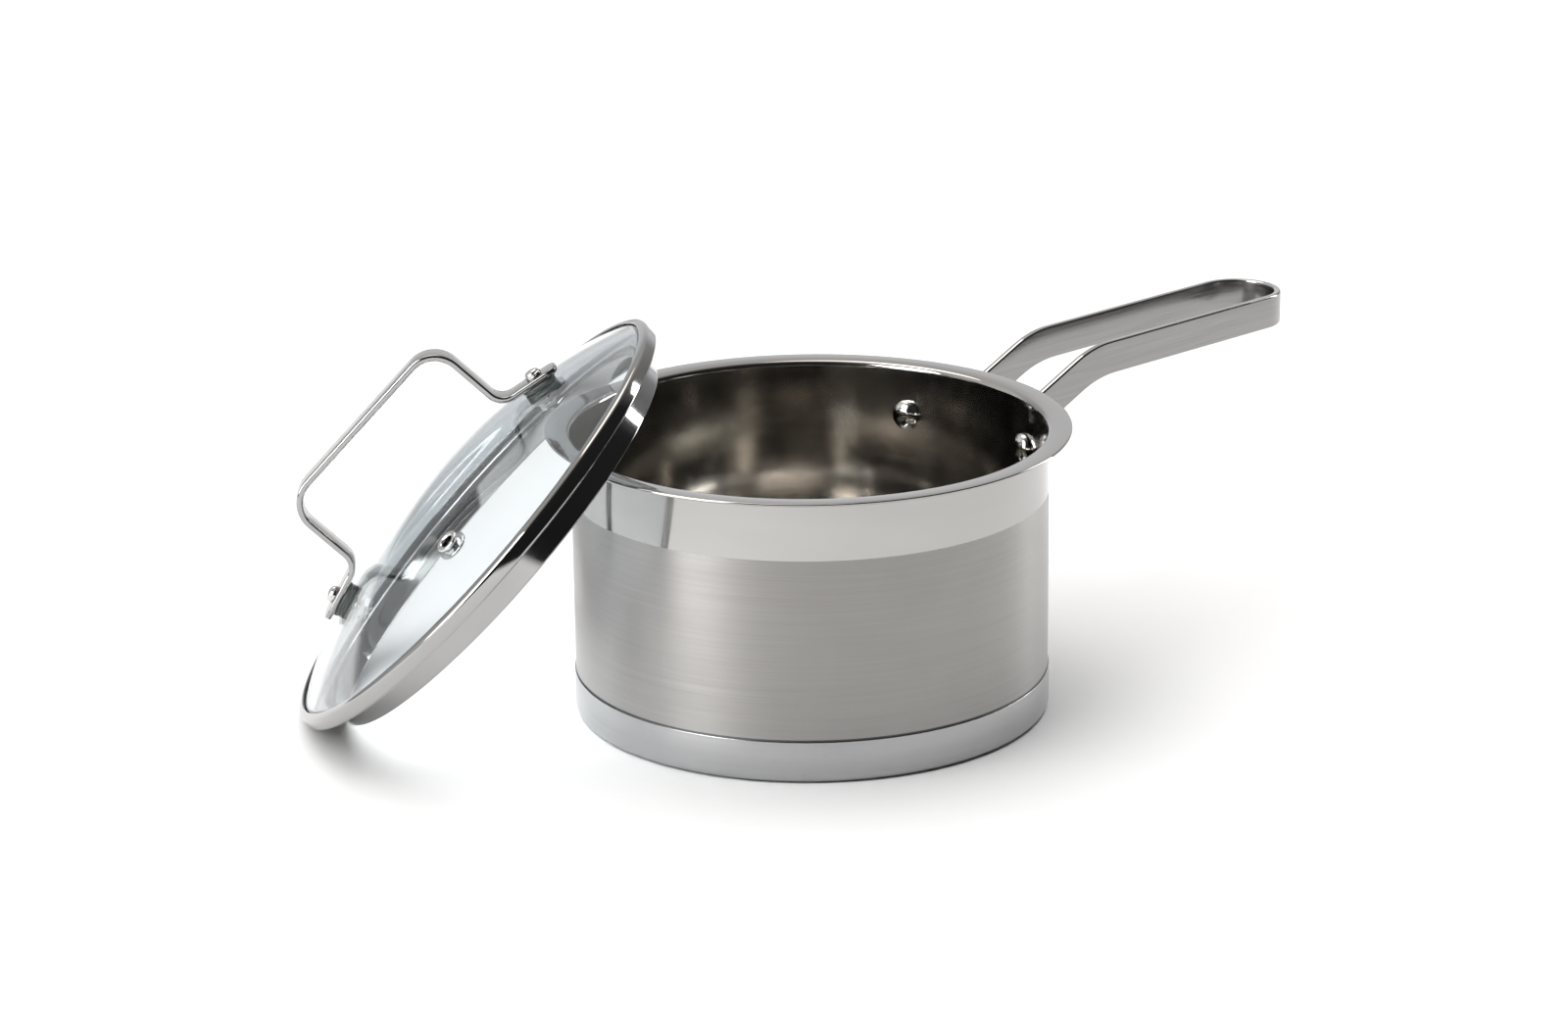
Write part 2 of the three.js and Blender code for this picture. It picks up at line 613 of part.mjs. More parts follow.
const lid = new THREE.Group();
lid.add(
  piece('lid_glass', glassDome(), lidGlass),
  piece('lid_ring', lidRing(), polishedSteel),
  piece('lid_handle', lidBail(), satinSteel),
  piece('vent_eyelet', ventEyelet(), polishedSteel),
  piece('vent_washer', inFrame(disc(
    ventWasherRadius, ventTubeRadius + fitGap,
    ventWasherTop - ventWasherThickness, ventWasherTop, ringSegments,
  ), ventFrame), polishedSteel),
);
for (const [side, frame] of Object.entries(footFrames)) {
  lid.add(
    piece(`lid_screw_${side}`, screw(frame), polishedSteel),
    piece(`lid_pad_${side}`, inFrame(
      disc(padRadius, holeRadius, padBottom, padBottom + padThickness), frame,
    ), silicone),
    piece(`lid_gasket_${side}`, inFrame(
      disc(padRadius, holeRadius, gasketTop - gasketThickness, gasketTop), frame,
    ), silicone),
    piece(`lid_washer_${side}`, inFrame(
      disc(washerRadius, holeRadius, washerTop - washerThickness, washerTop), frame,
    ), polishedSteel),
    piece(`lid_nut_${side}`, inFrame(
      disc(nutRadius, holeRadius, nutTop - nutThickness, nutTop, nutSides), frame,
    ), polishedSteel),
  );
}
// Turned about its own axis, tipped outwards, then set down on its bearing beside the pan.
const distance = leanDistance();
lid.position.set(
  distance * Math.cos(rad(lidBearing)), distance * Math.sin(rad(lidBearing)), lidCentreHeight,
);
lid.quaternion
  .setFromAxisAngle(new THREE.Vector3(0, 0, 1), rad(lidBearing))
  .multiply(new THREE.Quaternion().setFromAxisAngle(new THREE.Vector3(0, 1, 0), rad(lidLean)))
  .multiply(new THREE.Quaternion().setFromAxisAngle(new THREE.Vector3(0, 0, 1), rad(lidTurn)));

const saucepan = new THREE.Group();
saucepan.add(pan, lid);
export default saucepan;
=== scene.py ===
"""Looks of a steel saucepan and its leaning glass lid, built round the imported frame.

The pan is a drawn steel shell on a capsule base with a hairpin strip handle. The lid is a domed
glass in a pressed steel ring with a strip bail, its fasteners and a steam vent. Sizes are in
millimetres in the classes below and become metres when a piece is drawn.
"""
import logging
import math
from collections.abc import Callable
from dataclasses import dataclass, field
from enum import Enum

import bpy
import numpy as np
from mathutils import Euler, Matrix, Vector


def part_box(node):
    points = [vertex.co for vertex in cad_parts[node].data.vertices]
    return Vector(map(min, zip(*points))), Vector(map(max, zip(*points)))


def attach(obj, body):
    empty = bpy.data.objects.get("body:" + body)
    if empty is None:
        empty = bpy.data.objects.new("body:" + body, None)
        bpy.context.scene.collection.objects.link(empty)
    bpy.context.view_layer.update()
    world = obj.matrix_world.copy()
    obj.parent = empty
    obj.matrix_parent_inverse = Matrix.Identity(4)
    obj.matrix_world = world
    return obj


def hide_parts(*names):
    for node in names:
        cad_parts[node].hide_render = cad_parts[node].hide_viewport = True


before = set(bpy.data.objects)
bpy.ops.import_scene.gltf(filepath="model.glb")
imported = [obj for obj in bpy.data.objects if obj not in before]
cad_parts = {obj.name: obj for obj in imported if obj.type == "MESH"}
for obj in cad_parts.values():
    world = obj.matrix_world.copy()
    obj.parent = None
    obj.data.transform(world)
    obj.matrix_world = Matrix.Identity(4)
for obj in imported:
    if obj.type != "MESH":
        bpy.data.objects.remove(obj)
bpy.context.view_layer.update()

log = logging.getLogger("saucepan")

MM = 0.001
FULL_TURN = 2.0 * math.pi
BROAD_STEPS = 192  # steps round the widest pieces
SMALL_STEPS = 48  # steps round the fasteners
WELD = 1e-6
SMOOTH_BELOW = 40.0  # degrees between faces that are shaded as one surface
EDGE_FACE = 0.3  # how far a strip's face leans towards its edge before it is polished
Point = tuple[float, float]
Colour = tuple[float, float, float]
Piece = bpy.types.Object
Material = bpy.types.Material
Tree = bpy.types.NodeTree
Node = bpy.types.Node
Socket = bpy.types.NodeSocket


class Slot(Enum):
    """The record's material slots, one named for each finished piece."""

    BODY = "satin_steel_body"
    STRIP = "satin_steel_strip"
    POLISHED = "polished_steel"
    CORE = "aluminium_core"
    GLASS = "lid_glass"
    SILICONE = "silicone"


class Reach(Enum):
    """What a light acts on: matt surfaces only, or reflections only."""

    SHADE = "shade"
    GLOSS = "gloss"


class Body(Enum):
    """The two bodies that pieces ride on."""

    PAN = "pan"
    LID = "lid"


# ---------------------------------------------------------------- drawing helpers


def arc(cx: float, cy: float, radius: float, start: float, end: float,
        steps: int = 8) -> list[Point]:
    """Points on an arc, both ends included.

    Args:
        cx: First coordinate of the centre.
        cy: Second coordinate of the centre.
        radius: Radius of the arc.
        start: First angle in degrees.
        end: Last angle in degrees.
        steps: Number of chords.

    Returns:
        The points in order.
    """
    angles = np.radians(np.linspace(start, end, steps + 1))
    return [(cx + radius * math.cos(a), cy + radius * math.sin(a)) for a in angles]


def bent(corners: list[tuple[float, float, float]], steps: int = 8) -> list[Point]:
    """An open line through corners, with each corner rounded to its own radius.

    Args:
        corners: (x, y, radius) of each corner; the ends keep their places.
        steps: Number of chords in each bend.

    Returns:
        The points of the line.
    """
    line: list[Point] = [corners[0][:2]]
    for (px, py, _), (x, y, radius), (nx, ny, _) in zip(corners, corners[1:], corners[2:]):
        here = Vector((x, y))
        before = (Vector((px, py)) - here).normalized()
        after = (Vector((nx, ny)) - here).normalized()
        half = before.angle(after) / 2
        centre = here + (before + after).normalized() * (radius / math.sin(half))
        first = here + before * (radius / math.tan(half)) - centre
        last = here + after * (radius / math.tan(half)) - centre
        turn = math.atan2(first.x * last.y - first.y * last.x, first.dot(last))
        for k in range(steps + 1):
            c, s = math.cos(turn * k / steps), math.sin(turn * k / steps)
            line.append((centre.x + c * first.x - s * first.y,
                         centre.y + s * first.x + c * first.y))
    line.append(corners[-1][:2])
    return line


class Bench:
    """The hand-modelling steps that every piece is made with."""

    @staticmethod
    def clear() -> None:
        """Leave edit mode and select nothing."""
        if bpy.context.mode != "OBJECT":
            bpy.ops.object.mode_set(mode="OBJECT")
        bpy.ops.object.select_all(action="DESELECT")

    @staticmethod
    def take(piece: Piece) -> None:
        """Select one piece alone and make it the active one.

        Args:
            piece: The object.
        """
        Bench.clear()
        bpy.context.view_layer.objects.active = piece
        piece.select_set(True)

    @staticmethod
    def point(name: str, place: Vector) -> Piece:
        """Start a piece as a single point and stay in edit mode.

        Args:
            name: The piece's name.
            place: Where the point lies, in metres.

        Returns:
            The new object.
        """
        Bench.clear()
        bpy.ops.mesh.primitive_plane_add(size=MM, location=(0.0, 0.0, 0.0))
        piece = bpy.context.active_object
        piece.name = name
        piece.data.name = name
        bpy.ops.object.mode_set(mode="EDIT")
        bpy.ops.mesh.select_mode(type="VERT")
        bpy.ops.mesh.select_all(action="SELECT")
        bpy.ops.mesh.merge(type="CENTER")
        bpy.ops.mesh.select_all(action="SELECT")
        bpy.ops.transform.translate(value=place)
        return piece

    @staticmethod
    def pull(step: Vector) -> None:
        """Extrude what is selected by one step."""
        bpy.ops.mesh.extrude_region_move(TRANSFORM_OT_translate={"value": step})

    @staticmethod
    def weld() -> None:
        """Merge doubled points and point the faces outwards."""
        bpy.ops.mesh.select_all(action="SELECT")
        bpy.ops.mesh.remove_doubles(threshold=WELD)
        bpy.ops.mesh.normals_make_consistent(inside=False)

    @staticmethod
    def modify(piece: Piece, kind: str, **settings: object) -> None:
        """Add one modifier to a piece and apply it.

        Args:
            piece: The object to change.
            kind: Blender's name for the modifier type.
            **settings: The modifier's settings.
        """
        Bench.take(piece)
        modifier = piece.modifiers.new(kind.lower(), kind)
        for name, value in settings.items():
            setattr(modifier, name, value)
        bpy.ops.object.modifier_apply(modifier=modifier.name)

    @staticmethod
    def settle(piece: Piece, place: Matrix, crease: float) -> None:
        """Put a piece in its place in the part, in its mesh, and shade it smooth.

        Args:
            piece: The object to finish.
            place: The piece's own frame in the part.
            crease: Edges sharper than this many degrees stay sharp.
        """
        Bench.take(piece)
        piece.matrix_world = place
        bpy.ops.object.transform_apply(location=True, rotation=True, scale=True)
        bpy.ops.object.shade_smooth_by_angle(angle=math.radians(crease))

    @staticmethod
    def finish_strip(piece: Piece, thickness: float, ease: float, place: Matrix) -> None:
        """Give a drawn strip its thickness and softened edges, and put it in its place.

        Args:
            piece: The object, a sheet along the strip's mid-line.
            thickness: The strip's thickness in millimetres.
            ease: Width of the softened edges in millimetres.
            place: The piece's own frame in the part.
        """
        Bench.modify(piece, "SOLIDIFY", thickness=thickness * MM, offset=0.0, use_even_offset=True)
        Bench.modify(piece, "BEVEL", width=ease * MM, segments=4, limit_method="ANGLE",
                     angle_limit=math.radians(50))
        Bench.settle(piece, place, 35.0)

    @staticmethod
    def turned(name: str, profile: list[Point], place: Matrix, steps: int,
               crease: float = SMOOTH_BELOW) -> Piece:
        """Draw a profile and spin it about the frame's Z axis.

        Args:
            name: The piece's name.
            profile: (radius, height) points in millimetres; it starts and ends on the axis, or
                is closed by its first point.
            place: The piece's own frame in the part.
            steps: Number of steps round the axis.
            crease: Edges sharper than this many degrees stay sharp.

        Returns:
            The finished object.
        """
        outline = list(profile)
        if outline[0][0] > WELD:
            outline.append(outline[0])
        points = [Vector((r, 0.0, z)) * MM for r, z in outline]
        piece = Bench.point(name, points[0])
        for before, after in zip(points, points[1:]):
            if (after - before).length > WELD:
                Bench.pull(after - before)
        bpy.ops.mesh.select_all(action="SELECT")
        bpy.ops.mesh.spin(steps=steps, dupli=False, angle=FULL_TURN, center=(0.0, 0.0, 0.0),
                          axis=(0.0, 0.0, 1.0))
        Bench.weld()
        Bench.settle(piece, place, crease)
        return piece

    @staticmethod
    def paint_where(piece: Piece, index: int, chosen: np.ndarray) -> None:
        """Give the chosen faces of a piece one of its material slots.

        Args:
            piece: The object.
            index: Number of the material slot.
            chosen: One True or False for each face.
        """
        current = np.zeros(len(piece.data.polygons), np.int32)
        piece.data.polygons.foreach_get("material_index", current)
        current[chosen] = index
        piece.data.polygons.foreach_set("material_index", current)

    @staticmethod
    def face_table(piece: Piece) -> tuple[np.ndarray, np.ndarray]:
        """Measure a piece's faces.

        Args:
            piece: The object.

        Returns:
            The faces' centres and normals, one row each, in metres.
        """
        count = len(piece.data.polygons)
        centres, normals = np.zeros(3 * count), np.zeros(3 * count)
        piece.data.polygons.foreach_get("center", centres)
        piece.data.polygons.foreach_get("normal", normals)
        return centres.reshape(-1, 3), normals.reshape(-1, 3)


def hand_over(piece: Piece, body: Body, slot: Slot, node: str, *materials: Material) -> None:
    """Dress a finished piece, ride it on its body in place of its CAD node, and report it.

    Args:
        piece: The finished object.
        body: The body that it moves with.
        slot: The record's material slot; not used.
        node: The CAD node that it stands for.
        *materials: What fills its material slots, in order.
    """
    for material in materials:
        piece.data.materials.append(material)
    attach(piece, body.value)
    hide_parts(node)
    log.info("%s made, %d faces, for %s", piece.name, len(piece.data.polygons), node)


# ---------------------------------------------------------------- finishes


def shade(colour: Colour, share: float = 1.0) -> tuple[float, float, float, float]:
    """A colour made darker or lighter by a share, as a colour socket takes it.

    Args:
        colour: Red, green and blue.
        share: What each is multiplied by.

    Returns:
        Red, green, blue and a full alpha.
    """
    r, g, b = colour
    return r * share, g * share, b * share, 1.0


class Paint:
    """A node tree being wired: a material's, the sky's or a shared effect's."""

    def __init__(self, tree: Tree) -> None:
        """Start with the tree to wire."""
        self.tree = tree

    @staticmethod
    def of(owner: bpy.types.ID, kind: str) -> tuple["Paint", Node]:
        """Start wiring a material or a sky, with its shader node of the type that is asked for."""
        owner.use_nodes = True
        return Paint(owner.node_tree), next(n for n in owner.node_tree.nodes if n.type == kind)

    def node(self, kind: str, **settings: object) -> Node:
        """Add a node and set its properties.

        Args:
            kind: Blender's name for the node.
            **settings: Its properties.

        Returns:
            The new node.
        """
        made = self.tree.nodes.new(kind)
        for name, value in settings.items():
            setattr(made, name, value)
        return made

    def link(self, source: Socket, target: Socket) -> None:
        """Join an output to an input."""
        self.tree.links.new(source, target)

    def feed(self, target: Socket, value: object) -> None:
        """Join or set an input, whichever the value calls for.

        Args:
            target: The input.
            value: An output to join, or a plain value.
        """
        if isinstance(value, Socket):
            self.link(value, target)
        else:
            target.default_value = value

    def math(self, operation: str, first: object, second: object = 0.0) -> Socket:
        """Combine two numbers or outputs.

        Args:
            operation: Blender's name for the sum.
            first: A number or an output.
            second: A number or an output.

        Returns:
            The result's output.
        """
        made = self.node("ShaderNodeMath", operation=operation)
        self.feed(made.inputs[0], first)
        self.feed(made.inputs[1], second)
        return made.outputs[0]

    def times(self, first: object, second: object) -> Socket:
        """One number or output multiplied by another."""
        return self.math("MULTIPLY", first, second)

    def plus(self, first: object, second: object) -> Socket:
        """One number or output added to another."""
        return self.math("ADD", first, second)

    def axes(self, vector: Socket) -> list[Socket]:
        """The X, Y and Z of a vector.

        Args:
            vector: The vector's output.

        Returns:
            Three outputs.
        """
        split = self.node("ShaderNodeSeparateXYZ")
        self.link(vector, split.inputs[0])
        return list(split.outputs)

    def joined(self, *parts: Socket) -> Socket:
        """A vector made of three outputs.

        Args:
            *parts: Its X, Y and Z.

        Returns:
            The vector's output.
        """
        join = self.node("ShaderNodeCombineXYZ")
        for part, target in zip(parts, join.inputs):
            self.link(part, target)
        return join.outputs[0]

    def toward(self, vector: Socket, bearing: float) -> Socket:
        """How far a vector points along a level bearing.

        Args:
            vector: The vector's output.
            bearing: The bearing in degrees.

        Returns:
            Its share along the bearing, from -1 to 1.
        """
        angle = math.radians(bearing)
        made = self.node("ShaderNodeVectorMath", operation="DOT_PRODUCT")
        self.link(vector, made.inputs[0])
        made.inputs[1].default_value = (math.cos(angle), math.sin(angle), 0.0)
        return made.outputs["Value"]

    def noise(self, vector: Socket, scale: object, detail: float = 3.0,
              roughness: float = 0.55, output: str = "Fac") -> Socket:
        """Noise over a vector.

        Args:
            vector: The vector's output.
            scale: How many clouds fit in a metre.
            detail: How many finer layers it has.
            roughness: How strong the finer layers are.
            output: "Fac" for a value or "Color" for three.

        Returns:
            The noise's output.
        """
        made = self.node("ShaderNodeTexNoise")
        self.link(vector, made.inputs["Vector"])
        self.feed(made.inputs["Scale"], scale)
        made.inputs["Detail"].default_value = detail
        made.inputs["Roughness"].default_value = roughness
        return made.outputs[output]

    def spread(self, value: Socket, low: float = 0.3, high: float = 0.7,
               to_low: float = 0.0, to_high: float = 1.0) -> Socket:
        """Map a value from one range to another, clamped.

        Args:
            value: The value's output.
            low: Start of the range that it has.
            high: End of that range.
            to_low: What the start becomes.
            to_high: What the end becomes.

        Returns:
            The mapped value's output.
        """
        made = self.node("ShaderNodeMapRange")
        self.link(value, made.inputs["Value"])
        for name, number in zip(("From Min", "From Max", "To Min", "To Max"),
                                (low, high, to_low, to_high)):
            made.inputs[name].default_value = number
        return made.outputs["Result"]

    def blend(self, share: Socket, first: object, second: object) -> Socket:
        """Mix two colours.

        Args:
            share: The share of the second, from 0 to 1.
            first: A colour or an output.
            second: A colour or an output.

        Returns:
            The mixed colour's output.
        """
        made = self.node("ShaderNodeMix", data_type="RGBA")
        for name, value in (("Factor", share), ("A", first), ("B", second)):
            self.feed(made.inputs[name], value)
        return made.outputs["Result"]


class Effect:
    """Shared shader groups, each built once and placed in every material that needs it."""

    @staticmethod
    def place(paint: Paint, effect: Callable[[], Tree], vector: Socket,
              **values: float) -> Node:
        """Place a group in a material with the material's own values.

        Args:
            paint: The material's wiring.
            effect: The method that builds the group, which has its name.
            vector: The piece's own coordinates.
            **values: The group's number inputs.

        Returns:
            The group's node.
        """
        made = paint.node("ShaderNodeGroup")
        made.node_tree = bpy.data.node_groups.get(effect.__name__) or effect()
        paint.link(vector, made.inputs["Vector"])
        for name, value in values.items():
            made.inputs[name].default_value = value
        return made

    @staticmethod
    def _start(name: str, numbers: list[str], masks: list[str]) -> tuple[Paint, Node, Node]:
        """Make an empty group that takes a vector.

        Args:
            name: The group's name.
            numbers: Names of its number inputs.
            masks: Names of its value outputs.

        Returns:
            The group's wiring, its input node and its output node.
        """
        tree = bpy.data.node_groups.new(name, "ShaderNodeTree")
        tree.interface.new_socket("Vector", in_out="INPUT", socket_type="NodeSocketVector")
        for labels, way in ((numbers, "INPUT"), (masks, "OUTPUT")):
            for label in labels:
                tree.interface.new_socket(label, in_out=way, socket_type="NodeSocketFloat")
        paint = Paint(tree)
        return paint, paint.node("NodeGroupInput"), paint.node("NodeGroupOutput")

    @staticmethod
    def round_brush() -> Tree:
        """Fine lines that run round the frame's Z axis, and soft clouds between them.

        Returns:
            The group.
        """
        paint, start, end = Effect._start("round_brush", ["Fineness", "Streak"], ["Lines", "Bands"])
        x, y, z = paint.axes(start.outputs["Vector"])
        radius = paint.math("SQRT", paint.plus(paint.times(x, x), paint.times(y, y)))
        off_axis = paint.math("MAXIMUM", radius, 1e-4)
        rise = paint.plus(z, radius)

        def lines(fineness: float, streak: float) -> Socket:
            """Noise drawn out round the axis.

            Args:
                fineness: Share of the group's own fineness.
                streak: Share of the group's own streak.

            Returns:
                The noise's output.
            """
            along = paint.times(start.outputs["Streak"], streak)
            return paint.noise(paint.joined(
                *[paint.times(paint.math("DIVIDE", side, off_axis), along) for side in (x, y)],
                paint.times(rise, paint.times(start.outputs["Fineness"], fineness))), 1.0, 2.0)

        fine = paint.plus(paint.times(lines(1.0, 1.0), 0.6), paint.times(lines(0.35, 0.7), 0.4))
        paint.link(paint.spread(fine), end.inputs["Lines"])
        paint.link(paint.spread(lines(0.07, 0.4)), end.inputs["Bands"])
        return paint.tree

    @staticmethod
    def straight_brush() -> Tree:
        """Fine lines that run square to the mapped Z axis, and soft clouds between them.

        Returns:
            The group.
        """
        paint, start, end = Effect._start("straight_brush", ["Fineness", "Streak"],
                                          ["Lines", "Bands"])
        across = paint.joined(*[paint.times(side, start.outputs[name]) for side, name in
                                zip(paint.axes(start.outputs["Vector"]),
                                    ("Streak", "Streak", "Fineness"))])
        paint.link(paint.spread(paint.noise(across, 1.0)), end.inputs["Lines"])
        paint.link(paint.spread(paint.noise(across, 0.2, 2.0)), end.inputs["Bands"])
        return paint.tree

    @staticmethod
    def handling() -> Tree:
        """Marks of use: soft smudges and a few hair scratches.

        Returns:
            The group.
        """
        paint, start, end = Effect._start("handling", ["Scale"], ["Smudge", "Scratch"])
        vector, scale = start.outputs["Vector"], start.outputs["Scale"]
        paint.link(paint.spread(paint.noise(vector, scale, 4.0, 0.6), 0.42, 0.72),
                   end.inputs["Smudge"])
        warp = paint.node("ShaderNodeVectorMath", operation="MULTIPLY_ADD")
        paint.link(paint.noise(vector, 35.0, 2.0, 0.5, "Color"), warp.inputs[0])
        warp.inputs[1].default_value = (0.03, 0.03, 0.008)
        paint.link(vector, warp.inputs[2])
        cells = paint.node("ShaderNodeTexVoronoi", feature="DISTANCE_TO_EDGE")
        paint.link(warp.outputs[0], cells.inputs["Vector"])
        paint.link(paint.times(scale, 1.7), cells.inputs["Scale"])
        hair = paint.spread(cells.outputs["Distance"], 0.0, 0.012, 1.0, 0.0)
        rare = paint.spread(paint.noise(vector, 90.0, 2.0), 0.56, 0.62)
        paint.link(paint.times(hair, rare), end.inputs["Scratch"])
        return paint.tree


@dataclass(frozen=True)
class Finish:
    """A material's name and how to read the piece's own frame from object coordinates."""

    name: str
    home: Matrix = field(default_factory=lambda: Matrix.Identity(4))

    def begin(self) -> tuple[Material, Paint, Node, Socket]:
        """Start the material.

        Returns:
            The material, its wiring, its Principled shader and the piece's own coordinates.
        """
        material = bpy.data.materials.new(self.name)
        paint, shader = Paint.of(material, "BSDF_PRINCIPLED")
        turn = paint.node("ShaderNodeMapping", vector_type="POINT")
        back = self.home.inverted()
        turn.inputs["Location"].default_value = back.to_translation()
        turn.inputs["Rotation"].default_value = back.to_euler()
        paint.link(paint.node("ShaderNodeTexCoord").outputs["Object"], turn.inputs["Vector"])
        return material, paint, shader, turn.outputs[0]

    @staticmethod
    def bump(paint: Paint, shader: Node, height: Socket, strength: float,
             distance: float) -> None:
        """Feed a height through a Bump node into the shader's Normal.

        Args:
            paint: The material's wiring.
            shader: Its shader.
            height: The height's output.
            strength: How much of it shows.
            distance: The full height in metres.
        """
        made = paint.node("ShaderNodeBump")
        made.inputs["Strength"].default_value = strength
        made.inputs["Distance"].default_value = distance
        paint.link(height, made.inputs["Height"])
        paint.link(made.outputs[0], shader.inputs["Normal"])


@dataclass(frozen=True)
class BrushedSteel(Finish):
    """Satin steel with fine brush lines, round an axis or straight."""

    dark: Colour = (0.315, 0.305, 0.295)
    light: Colour = (0.365, 0.355, 0.345)
    roughness: float = 0.34
    spread: float = 0.06
    around: bool = True
    fineness: float = 1300.0
    streak: float = 1.4
    stretch: float = 0.7
    relief: float = 0.06
    line_share: float = 0.8
    smudge: float = 0.03
    depth: float = 0.00002

    def make(self) -> Material:
        """Build the material.

        Returns:
            The material.
        """
        material, paint, shader, vector = self.begin()
        brush = Effect.place(paint, Effect.round_brush if self.around else Effect.straight_brush,
                             vector, Fineness=self.fineness, Streak=self.streak)
        marks = Effect.place(paint, Effect.handling, vector, Scale=45.0)
        lines = brush.outputs["Lines"]
        tone = paint.plus(paint.times(lines, self.line_share),
                          paint.times(brush.outputs["Bands"], 1.0 - self.line_share))
        paint.link(paint.blend(tone, shade(self.dark), shade(self.light)),
                   shader.inputs["Base Color"])
        rough = paint.plus(paint.times(lines, self.spread), self.roughness - self.spread / 2)
        paint.link(paint.plus(rough, paint.times(marks.outputs["Smudge"], self.smudge)),
                   shader.inputs["Roughness"])
        shader.inputs["Metallic"].default_value = 1.0
        if self.stretch:
            shader.inputs["Anisotropic"].default_value = self.stretch
            shader.inputs["Anisotropic Rotation"].default_value = 0.25
            tangent = paint.node("ShaderNodeTangent", direction_type="RADIAL", axis="Z")
            paint.link(tangent.outputs[0], shader.inputs["Tangent"])
        self.bump(paint, shader, lines, self.relief, self.depth)
        return material


@dataclass(frozen=True)
class StripSteel(BrushedSteel):
    """Satin steel brushed straight across a flat strip."""

    roughness: float = 0.2
    spread: float = 0.08
    around: bool = False
    fineness: float = 1800.0
    streak: float = 25.0
    stretch: float = 0.0


@dataclass(frozen=True)
class CastAluminium(BrushedSteel):
    """Plain aluminium of the sealed core, with a turned grain."""

    dark: Colour = (0.6, 0.61, 0.62)
    light: Colour = (0.72, 0.73, 0.74)
    roughness: float = 0.45
    stretch: float = 0.0


@dataclass(frozen=True)
class PolishedSteel(Finish):
    """Bright steel with faint polishing lines, smudges and hair scratches."""

    colour: Colour = (0.66, 0.655, 0.65)
    roughness: float = 0.06
    fineness: float = 700.0
    unevenness: float = 0.05
    depth: float = 0.00004

    def make(self) -> Material:
        """Build the material.

        Returns:
            The material.
        """
        material, paint, shader, vector = self.begin()
        brush = Effect.place(paint, Effect.round_brush, vector, Fineness=self.fineness, Streak=2.0)
        marks = Effect.place(paint, Effect.handling, vector, Scale=70.0)
        paint.link(paint.blend(brush.outputs["Bands"], shade(self.colour, 1.0 - self.unevenness),
                               shade(self.colour, 1.0 + self.unevenness)),
                   shader.inputs["Base Color"])
        soft = paint.times(marks.outputs["Smudge"], 0.05)
        lines = paint.times(brush.outputs["Lines"], 0.03)
        hair = paint.times(marks.outputs["Scratch"], 0.08)
        total = paint.plus(paint.plus(soft, lines), hair)
        paint.link(paint.plus(total, self.roughness - 0.03), shader.inputs["Roughness"])
        shader.inputs["Metallic"].default_value = 1.0
        self.bump(paint, shader, brush.outputs["Bands"], 0.05, self.depth)
        return material


@dataclass(frozen=True)
class ClearGlass(Finish):
    """Tempered glass, clear with a faint cool tint."""

    tint: Colour = (0.8, 0.845, 0.865)
    index: float = 1.5

    def make(self) -> Material:
        """Build the material.

        Returns:
            The material.
        """
        material, paint, shader, vector = self.begin()
        smudge = Effect.place(paint, Effect.handling, vector, Scale=25.0).outputs["Smudge"]
        paint.link(paint.blend(smudge, shade(self.tint), shade(self.tint, 0.985)),
                   shader.inputs["Base Color"])
        paint.link(paint.times(smudge, 0.015), shader.inputs["Roughness"])
        shader.inputs["IOR"].default_value = self.index
        shader.inputs["Transmission Weight"].default_value = 1.0
        self.bump(paint, shader, paint.noise(vector, 18.0, 1.0), 0.05, MM)
        return material


@dataclass(frozen=True)
class Silicone(Finish):
    """Soft dark silicone with a fine moulded grain and dust."""

    colour: Colour = (0.055, 0.065, 0.06)
    dust: float = 1.7
    depth: float = 0.00005

    def make(self) -> Material:
        """Build the material.

        Returns:
            The material.
        """
        material, paint, shader, vector = self.begin()
        smudge = Effect.place(paint, Effect.handling, vector, Scale=220.0).outputs["Smudge"]
        paint.link(paint.blend(smudge, shade(self.colour), shade(self.colour, self.dust)),
                   shader.inputs["Base Color"])
        grain = paint.noise(vector, 2500.0, 2.0)
        paint.link(paint.spread(grain, to_low=0.42, to_high=0.6), shader.inputs["Roughness"])
        self.bump(paint, shader, grain, 0.25, self.depth)
        return material


# ---------------------------------------------------------------- the pan


